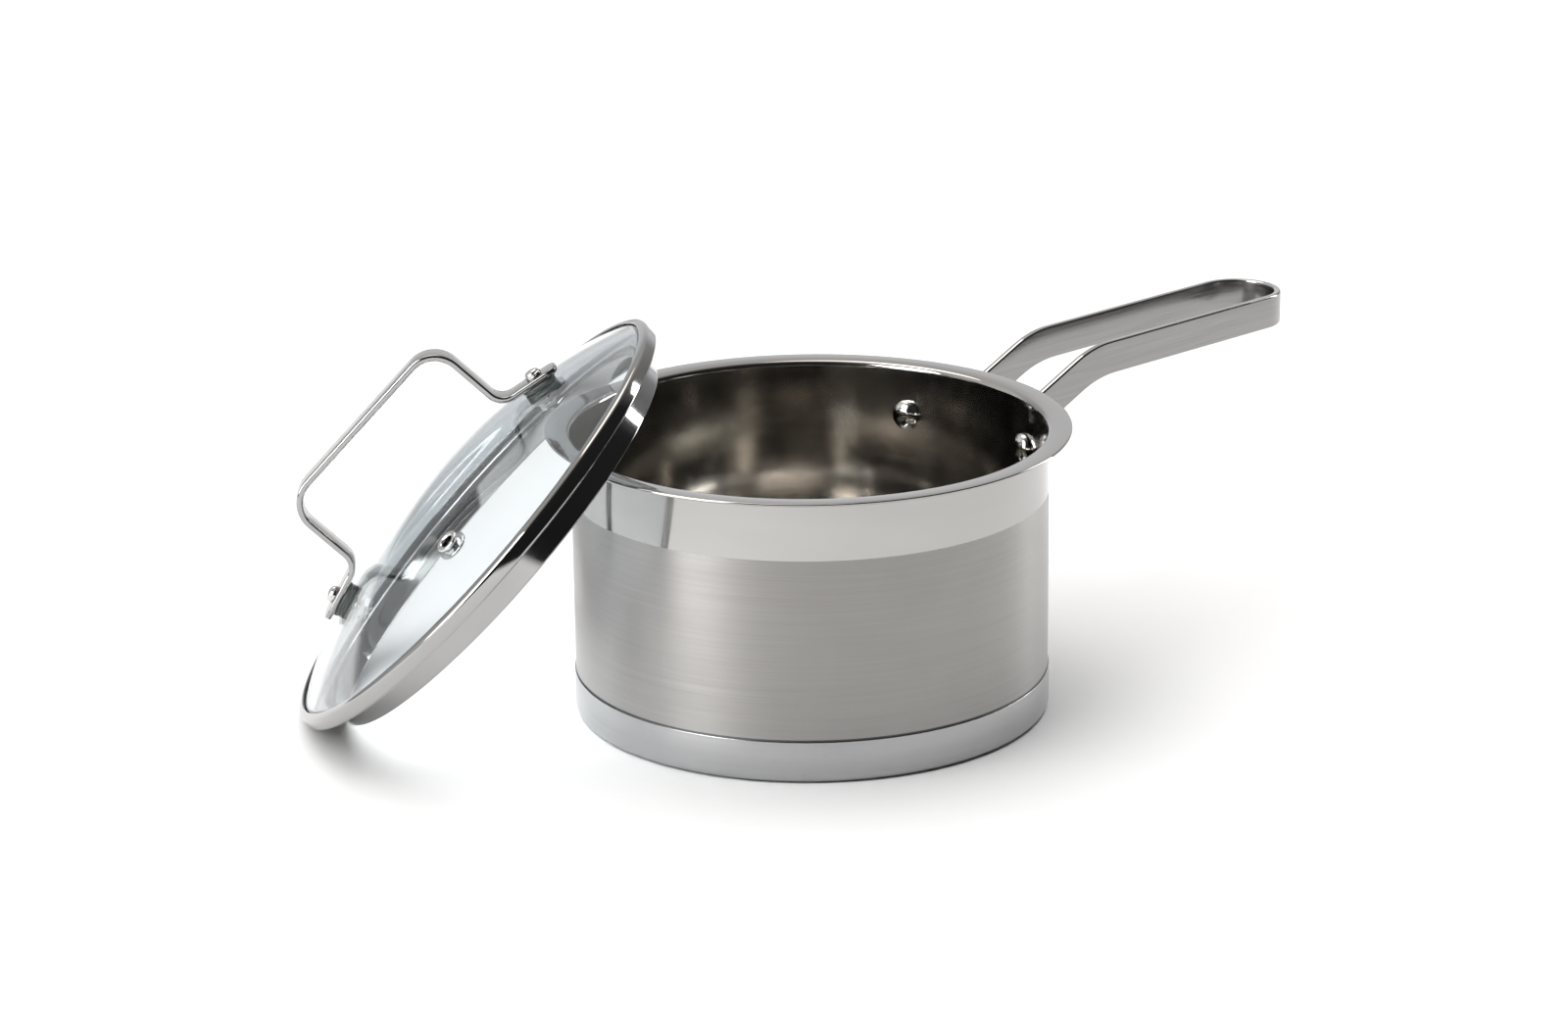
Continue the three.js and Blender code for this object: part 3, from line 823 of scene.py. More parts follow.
@dataclass
class Pan:
    """Drawn shell, capsule cap, hairpin handle and its rivets."""

    wall_radius: float = 80.7
    wall: float = 0.7
    height: float = 98.0
    rim_radius: float = 88.5
    rim_sheet: float = 0.9
    rim_rise: float = 0.3
    rim_root: float = 0.8
    corner: float = 9.0
    underside: float = 6.1
    wall_middle: tuple[float, float] = (45.0, 50.0)
    polish_from: float = 76.4
    # band round the cap's top edge, from and to in mm about the cap's height, painted dark as the
    # shade in the seam
    seam: tuple[float, float] = (-0.3, 0.7)
    outer_margin: float = 0.3
    inner_margin: float = 0.05
    floor_margin: float = 0.1
    cap_radius: float = 81.05
    cap_sheet: float = 0.8
    cap_middle: float = 40.0
    cap_height: float = 14.4
    cap_corner: float = 2.5
    cap_ease: float = 0.15
    cap_hug: tuple[float, float] = (-32.0, -5.0)
    bond: float = 0.05
    strip: float = 2.5
    strip_height: float = 12.0
    half_spacing: float = 14.75
    reach: float = 233.2
    top: float = 104.0
    slope: float = 24.0
    foot_bend: float = 5.0
    upper_bend: float = 42.0
    lower_bend: float = 8.0
    foot_end: float = 28.5
    foot_gap: float = 0.3
    edge_ease: float = 0.7
    overrun: float = 9.0
    rivet_height: float = 79.8
    head_radius: float = 5.25
    head_rise: float = 2.65
    head_edge: float = 0.35
    head_sink: float = 0.45
    shank: float = 2.5
    tail_radius: float = 4.2
    tail_rise: float = 1.4

    def shell_profile(self) -> list[Point]:
        """Draw the shell's sheet, from the axis out and back.

        Returns:
            The outline as (radius, height) points.
        """
        inner = self.wall_radius - self.wall
        low, side = self.underside + self.corner, self.wall_radius - self.corner
        under = self.height - self.rim_rise - self.rim_sheet
        edge_r, edge_z = self.rim_radius - self.rim_sheet / 2, self.height - self.rim_sheet / 2
        root = self.rim_root
        outer_middle, inner_middle = self.wall_middle
        bend = root + self.wall
        upper = [(r, z + (self.rim_sheet - self.wall) * (r - inner) / bend)
                 for r, z in arc(self.wall_radius + root, under - root, bend, 90, 180, 6)]
        return [
            (0.0, self.underside), (side * 0.5, self.underside),
            *arc(side, low, self.corner, -90, 0, 12),
            (self.wall_radius, outer_middle), (self.wall_radius, self.polish_from),
            *arc(self.wall_radius + root, under - root, root, 180, 90, 6),
            *arc(edge_r, edge_z, self.rim_sheet / 2, -90, 90, 8),
            *upper,
            (inner, inner_middle),
            *arc(side, low, self.corner - self.wall, 0, -90, 12),
            (side * 0.5, self.underside + self.wall), (0.0, self.underside + self.wall),
        ]

    def build_shell(self) -> None:
        """Make the drawn shell: brushed wall, painted shade along the seam, polished rim and softer
        inside.
        """
        piece = Bench.turned("drawn_shell", self.shell_profile(), Matrix.Identity(4), BROAD_STEPS)
        centres, normals = Bench.face_table(piece)
        radius, height = np.hypot(centres[:, 0], centres[:, 1]), centres[:, 2]
        outside = radius > (self.wall_radius - self.outer_margin) * MM
        outside &= height < self.polish_from * MM
        Bench.paint_where(piece, 1, outside & (height > self.underside * MM))
        # a thin band of wall faces over the cap's top edge gets a near-black material: painted
        # shade where the wall meets the cap
        seam_from, seam_to = ((self.cap_height + edge) * MM for edge in self.seam)
        Bench.paint_where(piece, 2, outside & (height > seam_from) & (height < seam_to))
        inward = (normals[:, 0] * centres[:, 0] + normals[:, 1] * centres[:, 1]) < 0.3 * radius
        within = radius < (self.wall_radius - self.wall + self.inner_margin) * MM
        above = height > (self.underside + self.wall - self.floor_margin) * MM
        Bench.paint_where(piece, 3, within & inward & above)
        hand_over(piece, Body.PAN, Slot.BODY, "pan_shell",
                  PolishedSteel("polished_pan_steel", colour=(0.45, 0.44, 0.43),
                                roughness=0.07).make(),
                  BrushedSteel("brushed_wall_steel").make(),
                  # near-black satin steel for that band: painted seam shade, not the steel's own
                  # colour
                  BrushedSteel("painted_seam_shade_steel", dark=(0.1, 0.1, 0.105),
                               light=(0.15, 0.15, 0.155), roughness=0.5).make(),
                  PolishedSteel("soft_inside_steel", colour=(0.56, 0.54, 0.51),
                                roughness=0.11).make())

    def build_cap(self) -> None:
        """Make the capsule's steel cap, thinned where it hugs the shell."""
        inner = self.cap_radius - self.cap_sheet
        bend = self.cap_corner - self.cap_sheet
        side, low = self.wall_radius - self.corner, self.underside + self.corner
        ease = self.cap_ease
        hug = [(max(r, inner), z)
               for r, z in arc(side, low, self.corner + self.bond, *self.cap_hug, 6)
               if z < self.cap_height - 2.0 * ease]
        top = side + math.sqrt((self.corner + self.bond) ** 2 - (low - self.cap_height) ** 2)
        profile = [
            (0.0, 0.0), (self.cap_middle, 0.0),
            *arc(self.cap_radius - self.cap_corner, self.cap_corner, self.cap_corner, -90, 0, 8),
            *arc(self.cap_radius - ease, self.cap_height - ease, ease, 0, 90, 3),
            (top, self.cap_height), *reversed(hug),
            *arc(inner - bend, self.cap_sheet + bend, bend, 0, -90, 6),
            (0.0, self.cap_sheet),
        ]
        piece = Bench.turned("capsule_cap", profile, Matrix.Identity(4), BROAD_STEPS)
        hand_over(piece, Body.PAN, Slot.BODY, "base_cap", BrushedSteel(
            "brushed_cap_steel", dark=(0.385, 0.386, 0.39), light=(0.435, 0.436, 0.44),
            roughness=0.24, spread=0.04, stretch=0.4, relief=0.03).make())

    def side_edges(self) -> tuple[list[Point], list[Point]]:
        """Draw the handle strip's edges, seen from the side.

        Returns:
            The lower and the upper edge as (reach, height) points.
        """
        half = self.strip_height / 2
        level = self.top - half
        climb = math.tan(math.radians(self.slope))
        lift = half / math.cos(math.radians(self.slope))
        root = self.wall_radius + self.foot_gap + self.strip

        def edge(side: float) -> list[Point]:
            """Draw one edge.

            Args:
                side: -1 for the lower and 1 for the upper.

            Returns:
                The edge's points.
            """
            foot, grip = self.rivet_height + side * half, level + side * half
            at_foot = root + (foot - self.rivet_height - side * lift) / climb
            at_grip = root + (grip - self.rivet_height - side * lift) / climb
            return bent([(0.0, foot, 0.0), (at_foot, foot, self.lower_bend),
                         (at_grip, grip, self.upper_bend),
                         (self.reach + self.overrun, grip, 0.0)], 10)

        return edge(-1.0), edge(1.0)

    def handle_path(self) -> list[Point]:
        """Draw the mid-line of the handle strip seen from above, from foot to foot.

        Returns:
            The points of the line.
        """
        round_wall = self.wall_radius + self.foot_gap + self.strip / 2
        bend_y = self.half_spacing + self.foot_bend
        bend_x = math.sqrt((round_wall + self.foot_bend) ** 2 - bend_y ** 2)
        touch = math.degrees(math.atan2(bend_y, bend_x))
        end = self.reach - self.half_spacing - self.strip / 2
        lower, upper = self.side_edges()
        stations = sorted({round(x, 2) for x, _ in lower + upper if bend_x + 1 < x < end - 5})
        half = [*arc(0.0, 0.0, round_wall, self.foot_end, touch, 8),
                *arc(bend_x, bend_y, self.foot_bend, 180 + touch, 270, 8)[1:],
                *[(x, self.half_spacing) for x in stations]]
        loop = arc(end, 0.0, self.half_spacing, 90, -90, 36)
        return [*half, *loop, *[(x, -y) for x, y in reversed(half)]]

    def build_handle(self) -> None:
        """Make the hairpin strip: an edge drawn along its path, thickened, its edges softened."""
        lower, upper = self.side_edges()
        low_x, low_z = zip(*lower)
        high_x, high_z = zip(*upper)
        path = self.handle_path()
        spans = [(float(np.interp(x, low_x, low_z)), float(np.interp(x, high_x, high_z)))
                 for x, _ in path]
        x, y = path[0]
        piece = Bench.point("hairpin_strip", Vector((x, y, spans[0][0])) * MM)
        Bench.pull(Vector((0.0, 0.0, spans[0][1] - spans[0][0])) * MM)
        bpy.ops.mesh.select_all(action="SELECT")
        for (x0, y0), (x1, y1), (a0, b0), (a1, b1) in zip(path, path[1:], spans, spans[1:]):
            Bench.pull(Vector((x1 - x0, y1 - y0, (a1 + b1 - a0 - b0) / 2)) * MM)
            bpy.ops.transform.resize(value=(1.0, 1.0, (b1 - a1) / (b0 - a0)),
                                     center_override=Vector((x1, y1, (a1 + b1) / 2)) * MM)
        Bench.weld()
        Bench.finish_strip(piece, self.strip, self.edge_ease, Matrix.Identity(4))
        _, normals = Bench.face_table(piece)
        Bench.paint_where(piece, 1, np.abs(normals[:, 2]) > EDGE_FACE)
        hand_over(piece, Body.PAN, Slot.STRIP, "pan_handle",
                  StripSteel("satin_strip_steel", dark=(0.26, 0.256, 0.253),
                             light=(0.335, 0.33, 0.325), roughness=0.22).make(),
                  PolishedSteel("polished_strip_edge", colour=(0.56, 0.555, 0.55)).make())

    def build_rivets(self) -> None:
        """Make the two domed rivets through the wall and the handle's feet."""
        finish = PolishedSteel("polished_rivet_steel", colour=(0.66, 0.65, 0.64),
                               roughness=0.05).make()
        head, tail = self.head_radius, self.tail_radius
        seat = self.wall_radius - self.wall - self.head_sink
        foot = self.wall_radius + self.foot_gap + self.strip + 0.1
        dome = [(head * math.sin(a), seat - self.head_edge - self.head_rise * math.cos(a))
                for a in map(math.radians, range(0, 91, 9))]
        profile = [*dome, (head, seat - 0.1), (head - 0.15, seat), (self.shank, seat),
                   (self.shank, foot), (tail - 0.1, foot), (tail, foot + 0.15),
                   (tail - 0.3, foot + self.tail_rise - 0.6),
                   (tail * 2 / 3, foot + self.tail_rise - 0.15), (0.0, foot + self.tail_rise)]
        for side in ("left", "right"):
            node = f"handle_rivet_{side}"
            low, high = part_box(node)
            middle = (low + high) / 2
            place = (Matrix.Rotation(math.atan2(middle.y, middle.x), 4, "Z")
                     @ Matrix.Translation((0.0, 0.0, middle.z))
                     @ Matrix.Rotation(math.pi / 2, 4, "Y"))
            piece = Bench.turned(f"wall_rivet_{side}", profile, place, SMALL_STEPS)
            hand_over(piece, Body.PAN, Slot.POLISHED, node, finish)

    def dress_core(self) -> None:
        """Give the sealed core its finish; it keeps its CAD shape."""
        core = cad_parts["base_core"]
        core.data.materials.clear()
        core.data.materials.append(CastAluminium("turned_core_aluminium").make())
        log.info("base_core kept, dressed in plain aluminium")

    def build(self) -> None:
        """Make every piece of the pan."""
        self.build_shell()
        self.build_cap()
        self.build_handle()
        self.build_rivets()
        self.dress_core()


# ---------------------------------------------------------------- the lid


@dataclass
class Lid:
    """Glass dome, ring, bail, fasteners and steam vent, in the lid's own leaning frame."""

    dome_radius: float = 200.6
    dome_top: float = 24.0
    glass: float = 4.0
    glass_edge: float = 87.2
    ring_radius: float = 88.5
    ring_sheet: float = 0.8
    ring_wall: float = 3.4
    ring_lip: float = 85.5
    skirt_radius: float = 79.4
    skirt_depth: float = 8.6
    skirt_roll: float = 0.5
    skirt_root: float = 0.6
    inner_root: float = 1.0
    flange_bend: float = 0.9
    shoulder_bend: float = 1.6
    gap: float = 0.3
    grind: float = 0.4
    layer_gap: float = 0.05
    clamp_gap: float = 0.2
    strip: float = 2.2
    width: float = 10.5
    half_span: float = 36.7
    bail_top: float = 55.8
    grip_bend: float = 10.0
    foot_bend: float = 6.5
    foot_end: float = 58.3
    foot_round: float = 3.8
    edge_ease: float = 0.65
    screw_at: float = 49.6
    shank: float = 1.8
    head_radius: float = 3.05
    head_side: float = 1.1
    head_dome: float = 2.75
    head_crown: float = 1.3
    pad: float = 1.3
    gasket: float = 1.7
    washer: float = 1.05
    nut: float = 2.6
    screw_end: float = 6.4
    pad_radius: float = 6.2
    washer_radius: float = 5.6
    nut_radius: float = 4.05
    vent_hole: float = 3.3
    vent_shift: float = 0.55
    vent_bore: float = 2.2
    vent_tube: float = 3.0
    vent_clinch: float = 3.9
    vent_washer: float = 5.2
    home: Matrix = field(default_factory=lambda: Matrix.Identity(4))

    def find_home(self) -> None:
        """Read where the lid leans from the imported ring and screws."""
        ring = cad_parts["lid_ring"].data.vertices
        spots = np.array([v.co for v in ring], float)
        middle = spots.mean(0)
        axis = Vector(np.linalg.svd(spots - middle, full_matrices=False)[2][2]).normalized()
        if axis.z < 0:
            axis.negate()
        lowest = float((spots @ np.array(axis)).min())
        origin = Vector(middle)
        origin += axis * (lowest + self.skirt_depth * MM - origin.dot(axis))
        ends = [sum(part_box(f"lid_screw_{side}"), Vector()) / 2 for side in ("left", "right")]
        along = ends[1] - ends[0]
        along = (along - axis * along.dot(axis)).normalized()
        across = axis.cross(along)
        turn = Matrix((along, across, axis)).transposed().to_4x4()
        self.home = Matrix.Translation(origin) @ turn
        log.info("lid axis leans %.2f degrees, origin %s", math.degrees(axis.angle((0, 0, 1))),
                 [round(v, 4) for v in origin])

    def dome_height(self, radius: float) -> float:
        """Height of the glass's outer surface at a distance from the axis."""
        return self.dome_top - self.dome_radius + math.sqrt(self.dome_radius ** 2 - radius ** 2)

    def on_dome(self, distance: float, bearing: float) -> Matrix:
        """Find a frame on the outer surface of the glass, its Z square to the surface.

        Args:
            distance: Distance from the lid's axis in millimetres.
            bearing: Bearing round the axis in degrees, from the bail's right foot.

        Returns:
            The frame in the part.
        """
        return (self.home @ Matrix.Rotation(math.radians(bearing), 4, "Z")
                @ Matrix.Translation(Vector((distance, 0.0, self.dome_height(distance))) * MM)
                @ Matrix.Rotation(math.asin(distance / self.dome_radius), 4, "Y"))

    def vent_place(self) -> Matrix:
        """Find the frame of the steam vent, a quarter turn from the bail.

        Returns:
            The frame in the part, its Z square to the glass.
        """
        low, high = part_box("vent_eyelet")
        spot = self.home.inverted() @ ((low + high) / 2)
        return self.on_dome(math.hypot(spot.x, spot.y) / MM + self.vent_shift,
                            math.degrees(math.atan2(spot.y, spot.x)))

    def build_glass(self) -> None:
        """Make the domed glass, with a ground edge and holes for the screws and the vent."""
        centre = self.dome_top - self.dome_radius
        inner = self.dome_radius - self.glass
        bottom = self.ring_sheet + self.gap
        flat = math.sqrt(inner ** 2 - (bottom - centre) ** 2)
        edge, grind = self.glass_edge, self.grind
        low_angle = math.degrees(math.acos(flat / inner))
        top_angle = math.degrees(math.acos((edge - grind) / self.dome_radius))
        under = arc(0.0, centre, inner, 90, low_angle, 30)
        over = arc(0.0, centre, self.dome_radius, top_angle, 90, 30)
        profile = [(0.0, under[0][1]), *under[1:], (edge - grind, bottom), (edge, bottom + grind),
                   (edge, self.dome_height(edge) - grind), *over[:-1], (0.0, over[-1][1])]
        piece = Bench.turned("glass_dome", profile, self.home, 160, 30.0)
        for place, radius in ((self.on_dome(self.screw_at, 0.0), self.shank + self.gap),
                              (self.on_dome(self.screw_at, 180.0), self.shank + self.gap),
                              (self.vent_place(), self.vent_hole)):
            self.drill(piece, place, radius)
        Bench.settle(piece, Matrix.Identity(4), 30.0)
        piece.visible_shadow = False
        hand_over(piece, Body.LID, Slot.GLASS, "lid_glass",
                  ClearGlass("clear_lid_glass", self.home).make())

    @staticmethod
    def drill(piece: Piece, place: Matrix, radius: float) -> None:
        """Cut one round hole through a piece.

        Args:
            piece: The object to cut.
            place: Frame of the hole, its Z along the hole.
            radius: The hole's radius in millimetres.
        """
        Bench.clear()
        bpy.ops.mesh.primitive_cylinder_add(vertices=40, radius=radius * MM, depth=30 * MM)
        tool = bpy.context.active_object
        tool.matrix_world = place
        Bench.modify(piece, "BOOLEAN", operation="DIFFERENCE", solver="EXACT", object=tool)
        bpy.data.objects.remove(tool)

    def build_ring(self) -> None:
        """Make the pressed ring: lip over the glass, band, flange and skirt in one sheet."""
        sheet = self.ring_sheet
        outer, band = self.ring_radius, self.ring_radius - self.ring_sheet
        lip_under = self.dome_height(self.ring_lip) + self.gap
        shoulder = self.dome_height(self.glass_edge) + self.gap
        skirt_in = self.skirt_radius - sheet
        roll = -self.skirt_depth + self.skirt_roll
        root, inner, flange = self.skirt_root, self.inner_root, self.flange_bend
        profile = [
            (self.ring_lip, lip_under), (band - 0.55, shoulder), (band, self.ring_wall),
            (band, sheet),
            *arc(skirt_in + inner, sheet - inner, inner, 90, 180, 6), (skirt_in, roll),
            *arc(self.skirt_radius - self.skirt_roll, roll, self.skirt_roll, 200, 360, 8),
            *arc(self.skirt_radius + root, -root, root, 180, 90, 6),
            *arc(outer - flange, flange, flange, -90, 0, 8),
            *bent([(outer, flange + 0.3, 0.0), (outer, shoulder + sheet, self.shoulder_bend),
                   (self.ring_lip, lip_under + sheet * 0.9, 0.0)], 8)[1:-1],
            *arc(self.ring_lip + 0.35, lip_under + sheet * 0.5, sheet * 0.42, 90, 200, 5),
        ]
        piece = Bench.turned("pressed_ring", profile, self.home, BROAD_STEPS)
        hand_over(piece, Body.LID, Slot.POLISHED, "lid_ring", PolishedSteel(
            "polished_ring_steel", self.home, colour=(0.4, 0.397, 0.392), roughness=0.07).make())

    def bail_seat(self) -> float:
        """Height of the bail's underside over the glass, along a screw."""
        return 2.0 * self.clamp_gap + self.pad

    def foot_line(self) -> tuple[float, float, float]:
        """Find how the bail's feet lie over their screws.

        Returns:
            Their slope in radians, and the distance and height of a foot's mid-line.
        """
        slope = math.asin(self.screw_at / self.dome_radius)
        layer = self.bail_seat() + self.strip / 2
        return (slope, self.screw_at + layer * math.sin(slope),
                self.dome_height(self.screw_at) + layer * math.cos(slope))

    def build_bail(self) -> None:
        """Make the bail strip: an edge drawn along its bends, rounded feet, softened edges."""
        slope, foot_x, foot_z = self.foot_line()

        def foot(x: float) -> float:
            """Height of the foot's mid-line."""
            return foot_z - (x - foot_x) * math.tan(slope)

        grip = self.bail_top - self.strip / 2
        side = [(self.foot_end, foot(self.foot_end), 0.0), (self.half_span, foot(self.half_span),
                self.foot_bend), (self.half_span, grip, self.grip_bend)]
        line = bent([*side, *[(-x, z, r) for x, z, r in reversed(side)]], 10)
        x, z = line[0]
        piece = Bench.point("bail_strip", Vector((x, -self.width / 2, z)) * MM)
        Bench.pull(Vector((0.0, self.width, 0.0)) * MM)
        bpy.ops.mesh.select_all(action="SELECT")
        for (x0, z0), (x1, z1) in zip(line, line[1:]):
            Bench.pull(Vector((x1 - x0, 0.0, z1 - z0)) * MM)
        Bench.weld()
        bpy.ops.mesh.select_all(action="DESELECT")
        bpy.ops.object.mode_set(mode="OBJECT")
        for vertex in piece.data.vertices:
            vertex.select = abs(vertex.co.x) > (self.foot_end - 0.1) * MM
        bpy.ops.object.mode_set(mode="EDIT")
        bpy.ops.mesh.bevel(offset=self.foot_round * MM, segments=8, affect="VERTICES")
        Bench.finish_strip(piece, self.strip, self.edge_ease, self.home)
        _, normals = Bench.face_table(piece)
        sideways = self.home.to_3x3() @ Vector((0.0, 1.0, 0.0))
        Bench.paint_where(piece, 1, np.abs(normals @ np.array(sideways)) > EDGE_FACE)
        straight = self.home @ Matrix.Rotation(math.pi / 2, 4, "X")
        hand_over(piece, Body.LID, Slot.STRIP, "lid_handle",
                  StripSteel("satin_bail_steel", straight, dark=(0.36, 0.352, 0.345),
                             light=(0.44, 0.432, 0.425)).make(),
                  PolishedSteel("polished_bail_edge", self.home,
                                colour=(0.38, 0.375, 0.375)).make())

    @staticmethod
    def soft_disc(name: str, radius: float, bore: float, low: float, high: float, place: Matrix,
                  ease: float, steps: int = SMALL_STEPS) -> Piece:
        """Make a washer-like disc with eased edges.

        Args:
            name: The piece's name.
            radius: Outer radius.
            bore: Radius of its hole.
            low: Lower face along the frame's Z.
            high: Upper face.
            place: The frame it sits in.
            ease: Radius of its outer edges.
            steps: Number of steps round it.

        Returns:
            The finished object.
        """
        lead = 0.1
        profile = [(bore, low + lead), (bore + lead, low),
                   *arc(radius - ease, low + ease, ease, -90, 0, 4),
                   *arc(radius - ease, high - ease, ease, 0, 90, 4),
                   (bore + lead, high), (bore, high - lead)]
        return Bench.turned(name, profile, place, steps)

    def screw_profile(self, low: float) -> list[Point]:
        """Draw a screw, from its end under the glass to the top of its domed head.

        Args:
            low: Height of the glass's inner surface with its gap.

        Returns:
            The outline as (radius, height) points.
        """
        head, seat = self.head_radius, self.bail_seat() + self.strip + self.layer_gap
        side, end = seat + self.head_side, low - self.screw_end
        dome = [(self.head_dome * math.cos(a), side + 0.25 + self.head_crown * math.sin(a))
                for a in map(math.radians, range(0, 90, 10))]
        return [(0.0, end), (self.shank - 0.3, end), (self.shank, end + 0.3), (self.shank, seat),
                (head - 0.15, seat), (head, seat + 0.15), (head, side),
                (head - 0.25, side + 0.2), *dome, (0.0, side + 0.25 + self.head_crown)]

    def build_fasteners(self) -> None:
        """Make at each foot the screw, pad, gasket, washer and nut on one axis."""
        bright = PolishedSteel("polished_fastener_steel").make()
        soft = Silicone("dark_silicone").make()
        low = -self.glass - self.layer_gap
        gasket = low - self.gasket
        washer = gasket - self.layer_gap - self.washer
        nut = washer - self.layer_gap - self.nut
        discs = (
            ("bail_pad", "lid_pad", Slot.SILICONE, soft, self.pad_radius,
             self.layer_gap, self.bail_seat() - self.layer_gap, 0.45, SMALL_STEPS),
            ("inner_gasket", "lid_gasket", Slot.SILICONE, soft, self.pad_radius,
             gasket, low, 0.5, SMALL_STEPS),
            ("inner_washer", "lid_washer", Slot.POLISHED, bright, self.washer_radius,
             washer, washer + self.washer, 0.2, SMALL_STEPS),
            ("inner_nut", "lid_nut", Slot.POLISHED, bright, self.nut_radius,
             nut, nut + self.nut, 0.35, 6),
        )
        for side, bearing in (("right", 0.0), ("left", 180.0)):
            place = self.on_dome(self.screw_at, bearing)
            for name, node, slot, material, radius, bottom, top, ease, steps in discs:
                piece = self.soft_disc(f"{name}_{side}", radius, self.shank + 0.15, bottom, top,
                                       place, ease, steps)
                hand_over(piece, Body.LID, slot, f"{node}_{side}", material)
            screw = Bench.turned(f"bail_screw_{side}", self.screw_profile(low), place, SMALL_STEPS)
            hand_over(screw, Body.LID, Slot.POLISHED, f"lid_screw_{side}", bright)

    def build_vent(self) -> None:
        """Make the eyelet with its rolled flange, and the washer it is clinched over."""
        place = self.vent_place()
        bright = PolishedSteel("polished_vent_steel").make()
        under = -self.glass - 1.0
        bore, tube, clinch = self.vent_bore, self.vent_tube, self.vent_clinch
        eyelet = Bench.turned("vent_collar", [
            (bore, under - 0.5), (bore + 0.3, under - 0.7), (clinch - 0.4, under - 0.7),
            (clinch, under - 0.4), (clinch, under), (tube, under), (tube, 0.08),
            *arc(tube + 0.6, 0.55, 0.5, -80, 90, 6), *arc(tube, 0.25, tube - bore, 90, 180, 6),
        ], place, 64)
        washer = self.soft_disc("vent_ring", self.vent_washer, tube + 0.1, under + self.layer_gap,
                                -self.glass - self.layer_gap, place, 0.25)
        for piece, node in ((eyelet, "vent_eyelet"), (washer, "vent_washer")):
            hand_over(piece, Body.LID, Slot.POLISHED, node, bright)

    def build(self) -> None:
        """Make every piece of the lid."""
        self.find_home()
        self.build_glass()
        self.build_ring()
        self.build_bail()
        self.build_fasteners()
        self.build_vent()


# ---------------------------------------------------------------- studio


@dataclass(frozen=True)
class Viewpoint:
    """The camera: where it stands and how it is turned."""

    place: tuple[float, float, float] = (-0.9659, -1.0263, 0.5195)
    bearing: float = 47.1
    pitch: float = 17.841
    roll: float = 0.724
    lens: float = 100.26
    sensor: float = 36.0
    clip: tuple[float, float] = (0.01, 60.0)

    def build(self) -> None:
        """Create the camera and make it the scene's own."""
        data = bpy.data.cameras.new("studio_camera")
        data.lens = self.lens
        data.sensor_width = self.sensor
        data.clip_start, data.clip_end = self.clip
        camera = bpy.data.objects.new("studio_camera", data)
        turn = (Euler((math.radians(90.0 - self.pitch), 0.0, math.radians(self.bearing - 90.0)))
                .to_matrix() @ Matrix.Rotation(math.radians(-self.roll), 3, "Z"))
        camera.matrix_world = Matrix.Translation(self.place) @ turn.to_4x4()
        bpy.context.scene.collection.objects.link(camera)
        bpy.context.scene.camera = camera
        log.info("camera placed")


@dataclass(frozen=True)
class Softbox:
    """A rectangular light, placed by its bearing from the camera's line of sight."""

    name: str
    bearing: float
    distance: float
    height: float
    size: tuple[float, float]
    power: float
    reach: Reach
    colour: Colour = (1.0, 1.0, 1.0)
    aim: tuple[float, float, float] = (0.0, 0.0, 0.05)

    def build(self, sight: float) -> None:
        """Create the light, aimed at the pan.

        Args:
            sight: Bearing of the camera's line of sight in degrees.
        """
        data = bpy.data.lights.new(self.name, "AREA")
        data.shape = "RECTANGLE"
        data.size, data.size_y = self.size
        data.energy = self.power
        data.color = self.colour
        light = bpy.data.objects.new(self.name, data)
        angle = math.radians(sight + self.bearing)
        spot = Vector((self.distance * math.cos(angle), self.distance * math.sin(angle),
                       self.height))
        turn = (Vector(self.aim) - spot).to_track_quat("-Z", "Y").to_matrix().to_4x4()
        light.matrix_world = Matrix.Translation(spot) @ turn
        light.visible_glossy = self.reach is not Reach.SHADE
        light.visible_diffuse = self.reach is not Reach.GLOSS
        bpy.context.scene.collection.objects.link(light)


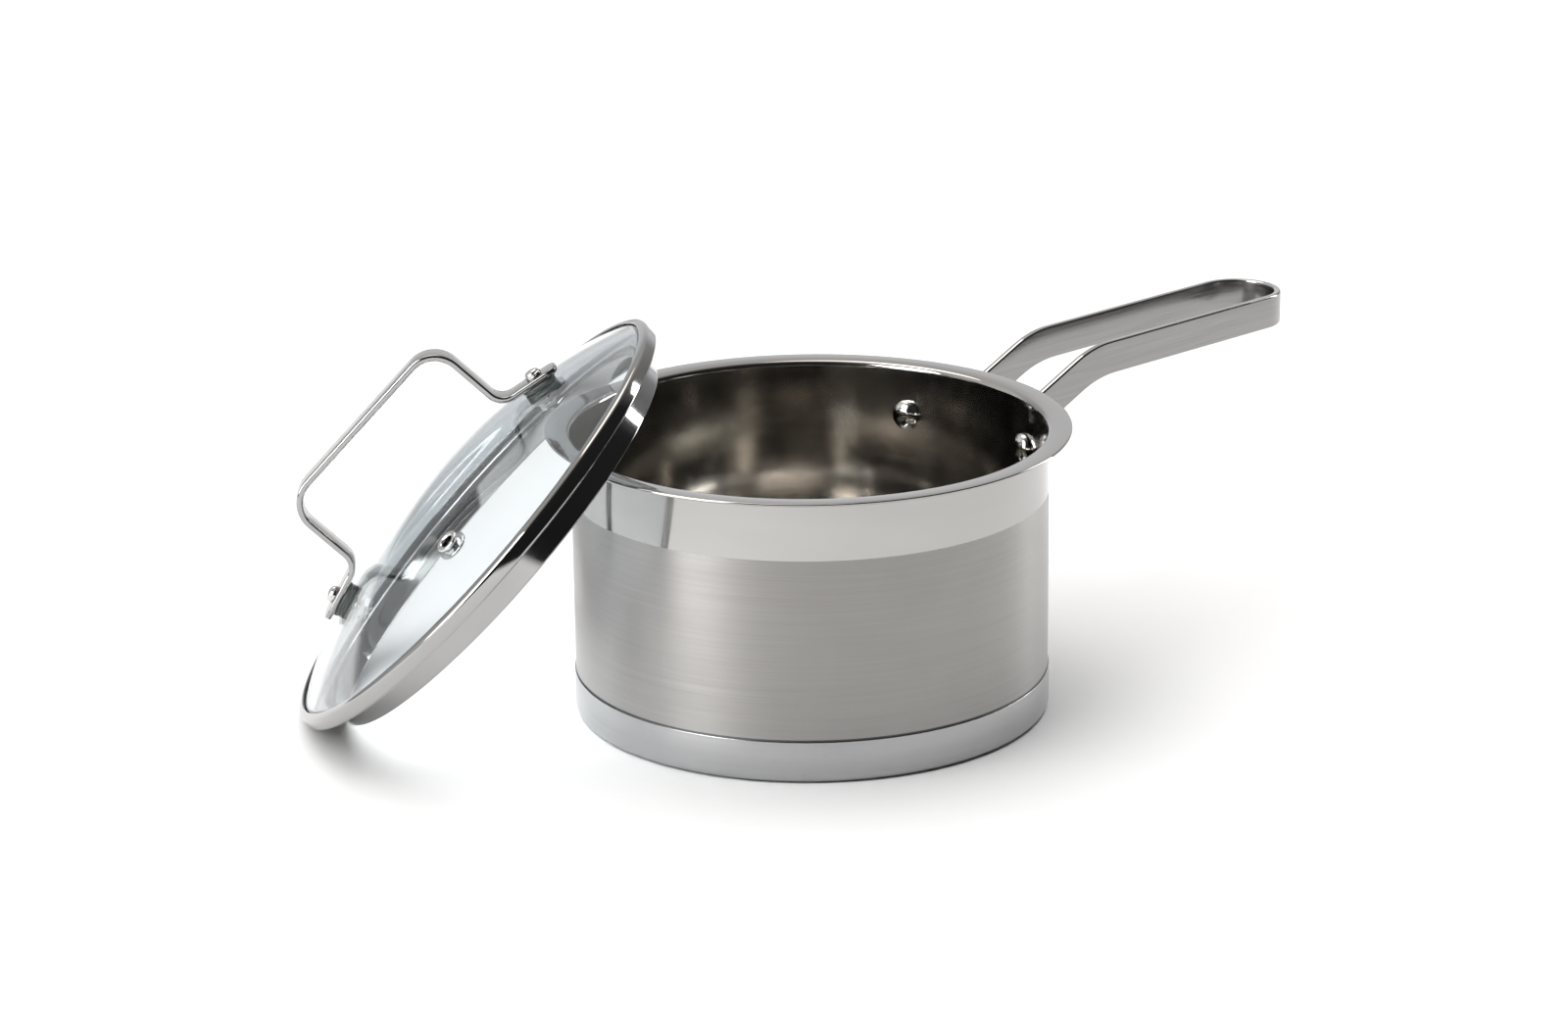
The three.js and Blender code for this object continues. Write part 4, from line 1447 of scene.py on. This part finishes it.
@dataclass
class Studio:
    """Pale floor, soft sky and softboxes."""

    floor_size: float = 14.0
    floor_colour: Colour = (0.84, 0.84, 0.84)
    glow: float = 0.45
    far_glow: float = 0.4
    sight: float = 47.1
    bright_side: float = 40.0
    horizon: Colour = (0.78, 0.79, 0.81)
    room: Colour = (0.02, 0.02, 0.022)
    zenith: Colour = (0.75, 0.72, 0.69)
    dark_zenith: Colour = (0.03, 0.03, 0.03)
    flag: float = 0.45

    def build_floor(self) -> None:
        """Make the pale floor, with a slight unevenness of tone and a glow away from the pan."""
        Bench.clear()
        bpy.ops.mesh.primitive_plane_add(size=self.floor_size, location=(0.0, 0.0, 0.0))
        floor = bpy.context.active_object
        floor.name = "studio_floor"
        material = bpy.data.materials.new("pale_floor")
        paint, shader = Paint.of(material, "BSDF_PRINCIPLED")
        where = paint.node("ShaderNodeTexCoord").outputs["Object"]
        paint.link(paint.blend(paint.noise(where, 3.0), shade(self.floor_colour),
                               shade(self.floor_colour, 0.99)), shader.inputs["Base Color"])
        shader.inputs["Roughness"].default_value = 0.85
        shader.inputs["Specular IOR Level"].default_value = 0.2
        shader.inputs["Emission Color"].default_value = (1.0, 1.0, 1.0, 1.0)
        away = paint.node("ShaderNodeVectorMath", operation="LENGTH")
        paint.link(where, away.inputs[0])
        near = paint.spread(away.outputs["Value"], 0.15, 1.2, 0.0, self.glow)
        fade = paint.spread(away.outputs["Value"], 1.5, 3.5, 1.0, self.far_glow)
        paint.link(paint.times(near, fade), shader.inputs["Emission Strength"])
        floor.data.materials.append(material)

    def build_sky(self) -> None:
        """Make a sky that is pale on one side, dark on the other, with a dark flag to the left."""
        world = bpy.data.worlds.new("studio_sky")
        bpy.context.scene.world = world
        paint, background = Paint.of(world, "BACKGROUND")
        where = paint.node("ShaderNodeTexCoord").outputs["Generated"]
        rise = paint.spread(paint.axes(where)[2], 0.15, 0.75)
        side = paint.spread(paint.toward(where, self.sight + self.bright_side), -0.35, 0.55)
        level = paint.blend(side, shade(self.room), shade(self.horizon))
        above = paint.blend(side, shade(self.dark_zenith), shade(self.zenith))
        ahead = paint.toward(where, self.sight)
        band = paint.times(paint.spread(ahead, 0.55, 0.68),
                           paint.spread(ahead, 0.88, 0.95, 1.0, 0.0))
        flagged = paint.blend(paint.times(band, self.flag), level, shade(self.room))
        paint.link(paint.blend(rise, flagged, above), background.inputs["Color"])

    def build(self) -> None:
        """Set the whole studio."""
        self.build_floor()
        self.build_sky()
        for box in (
            Softbox("key_softbox", 125.0, 1.6, 1.4, (1.6, 1.6), 19.0, Reach.SHADE),
            Softbox("left_strip", 124.0, 1.6, 0.9, (0.9, 1.4), 42.0, Reach.GLOSS),
            Softbox("right_strip", -60.0, 1.6, 0.5, (0.2, 1.2), 9.0, Reach.GLOSS),
            Softbox("warm_card", 30.0, 0.7, 1.5, (0.9, 0.9), 6.0, Reach.GLOSS, (1.0, 0.93, 0.85)),
            Softbox("top_softbox", 0.0, 0.1, 2.2, (2.4, 2.4), 56.0, Reach.SHADE),
        ):
            box.build(self.sight)
        scene = bpy.context.scene
        scene.view_settings.view_transform = "Standard"
        scene.view_settings.look = "None"
        log.info("studio set")


def main() -> None:
    """Build the camera, the pan, the lid and the studio."""
    logging.basicConfig(level=logging.INFO, format="%(name)s: %(message)s")
    Viewpoint().build()
    Pan().build()
    Lid().build()
    Studio().build()
    Bench.clear()


if __name__ == "__main__":
    main()
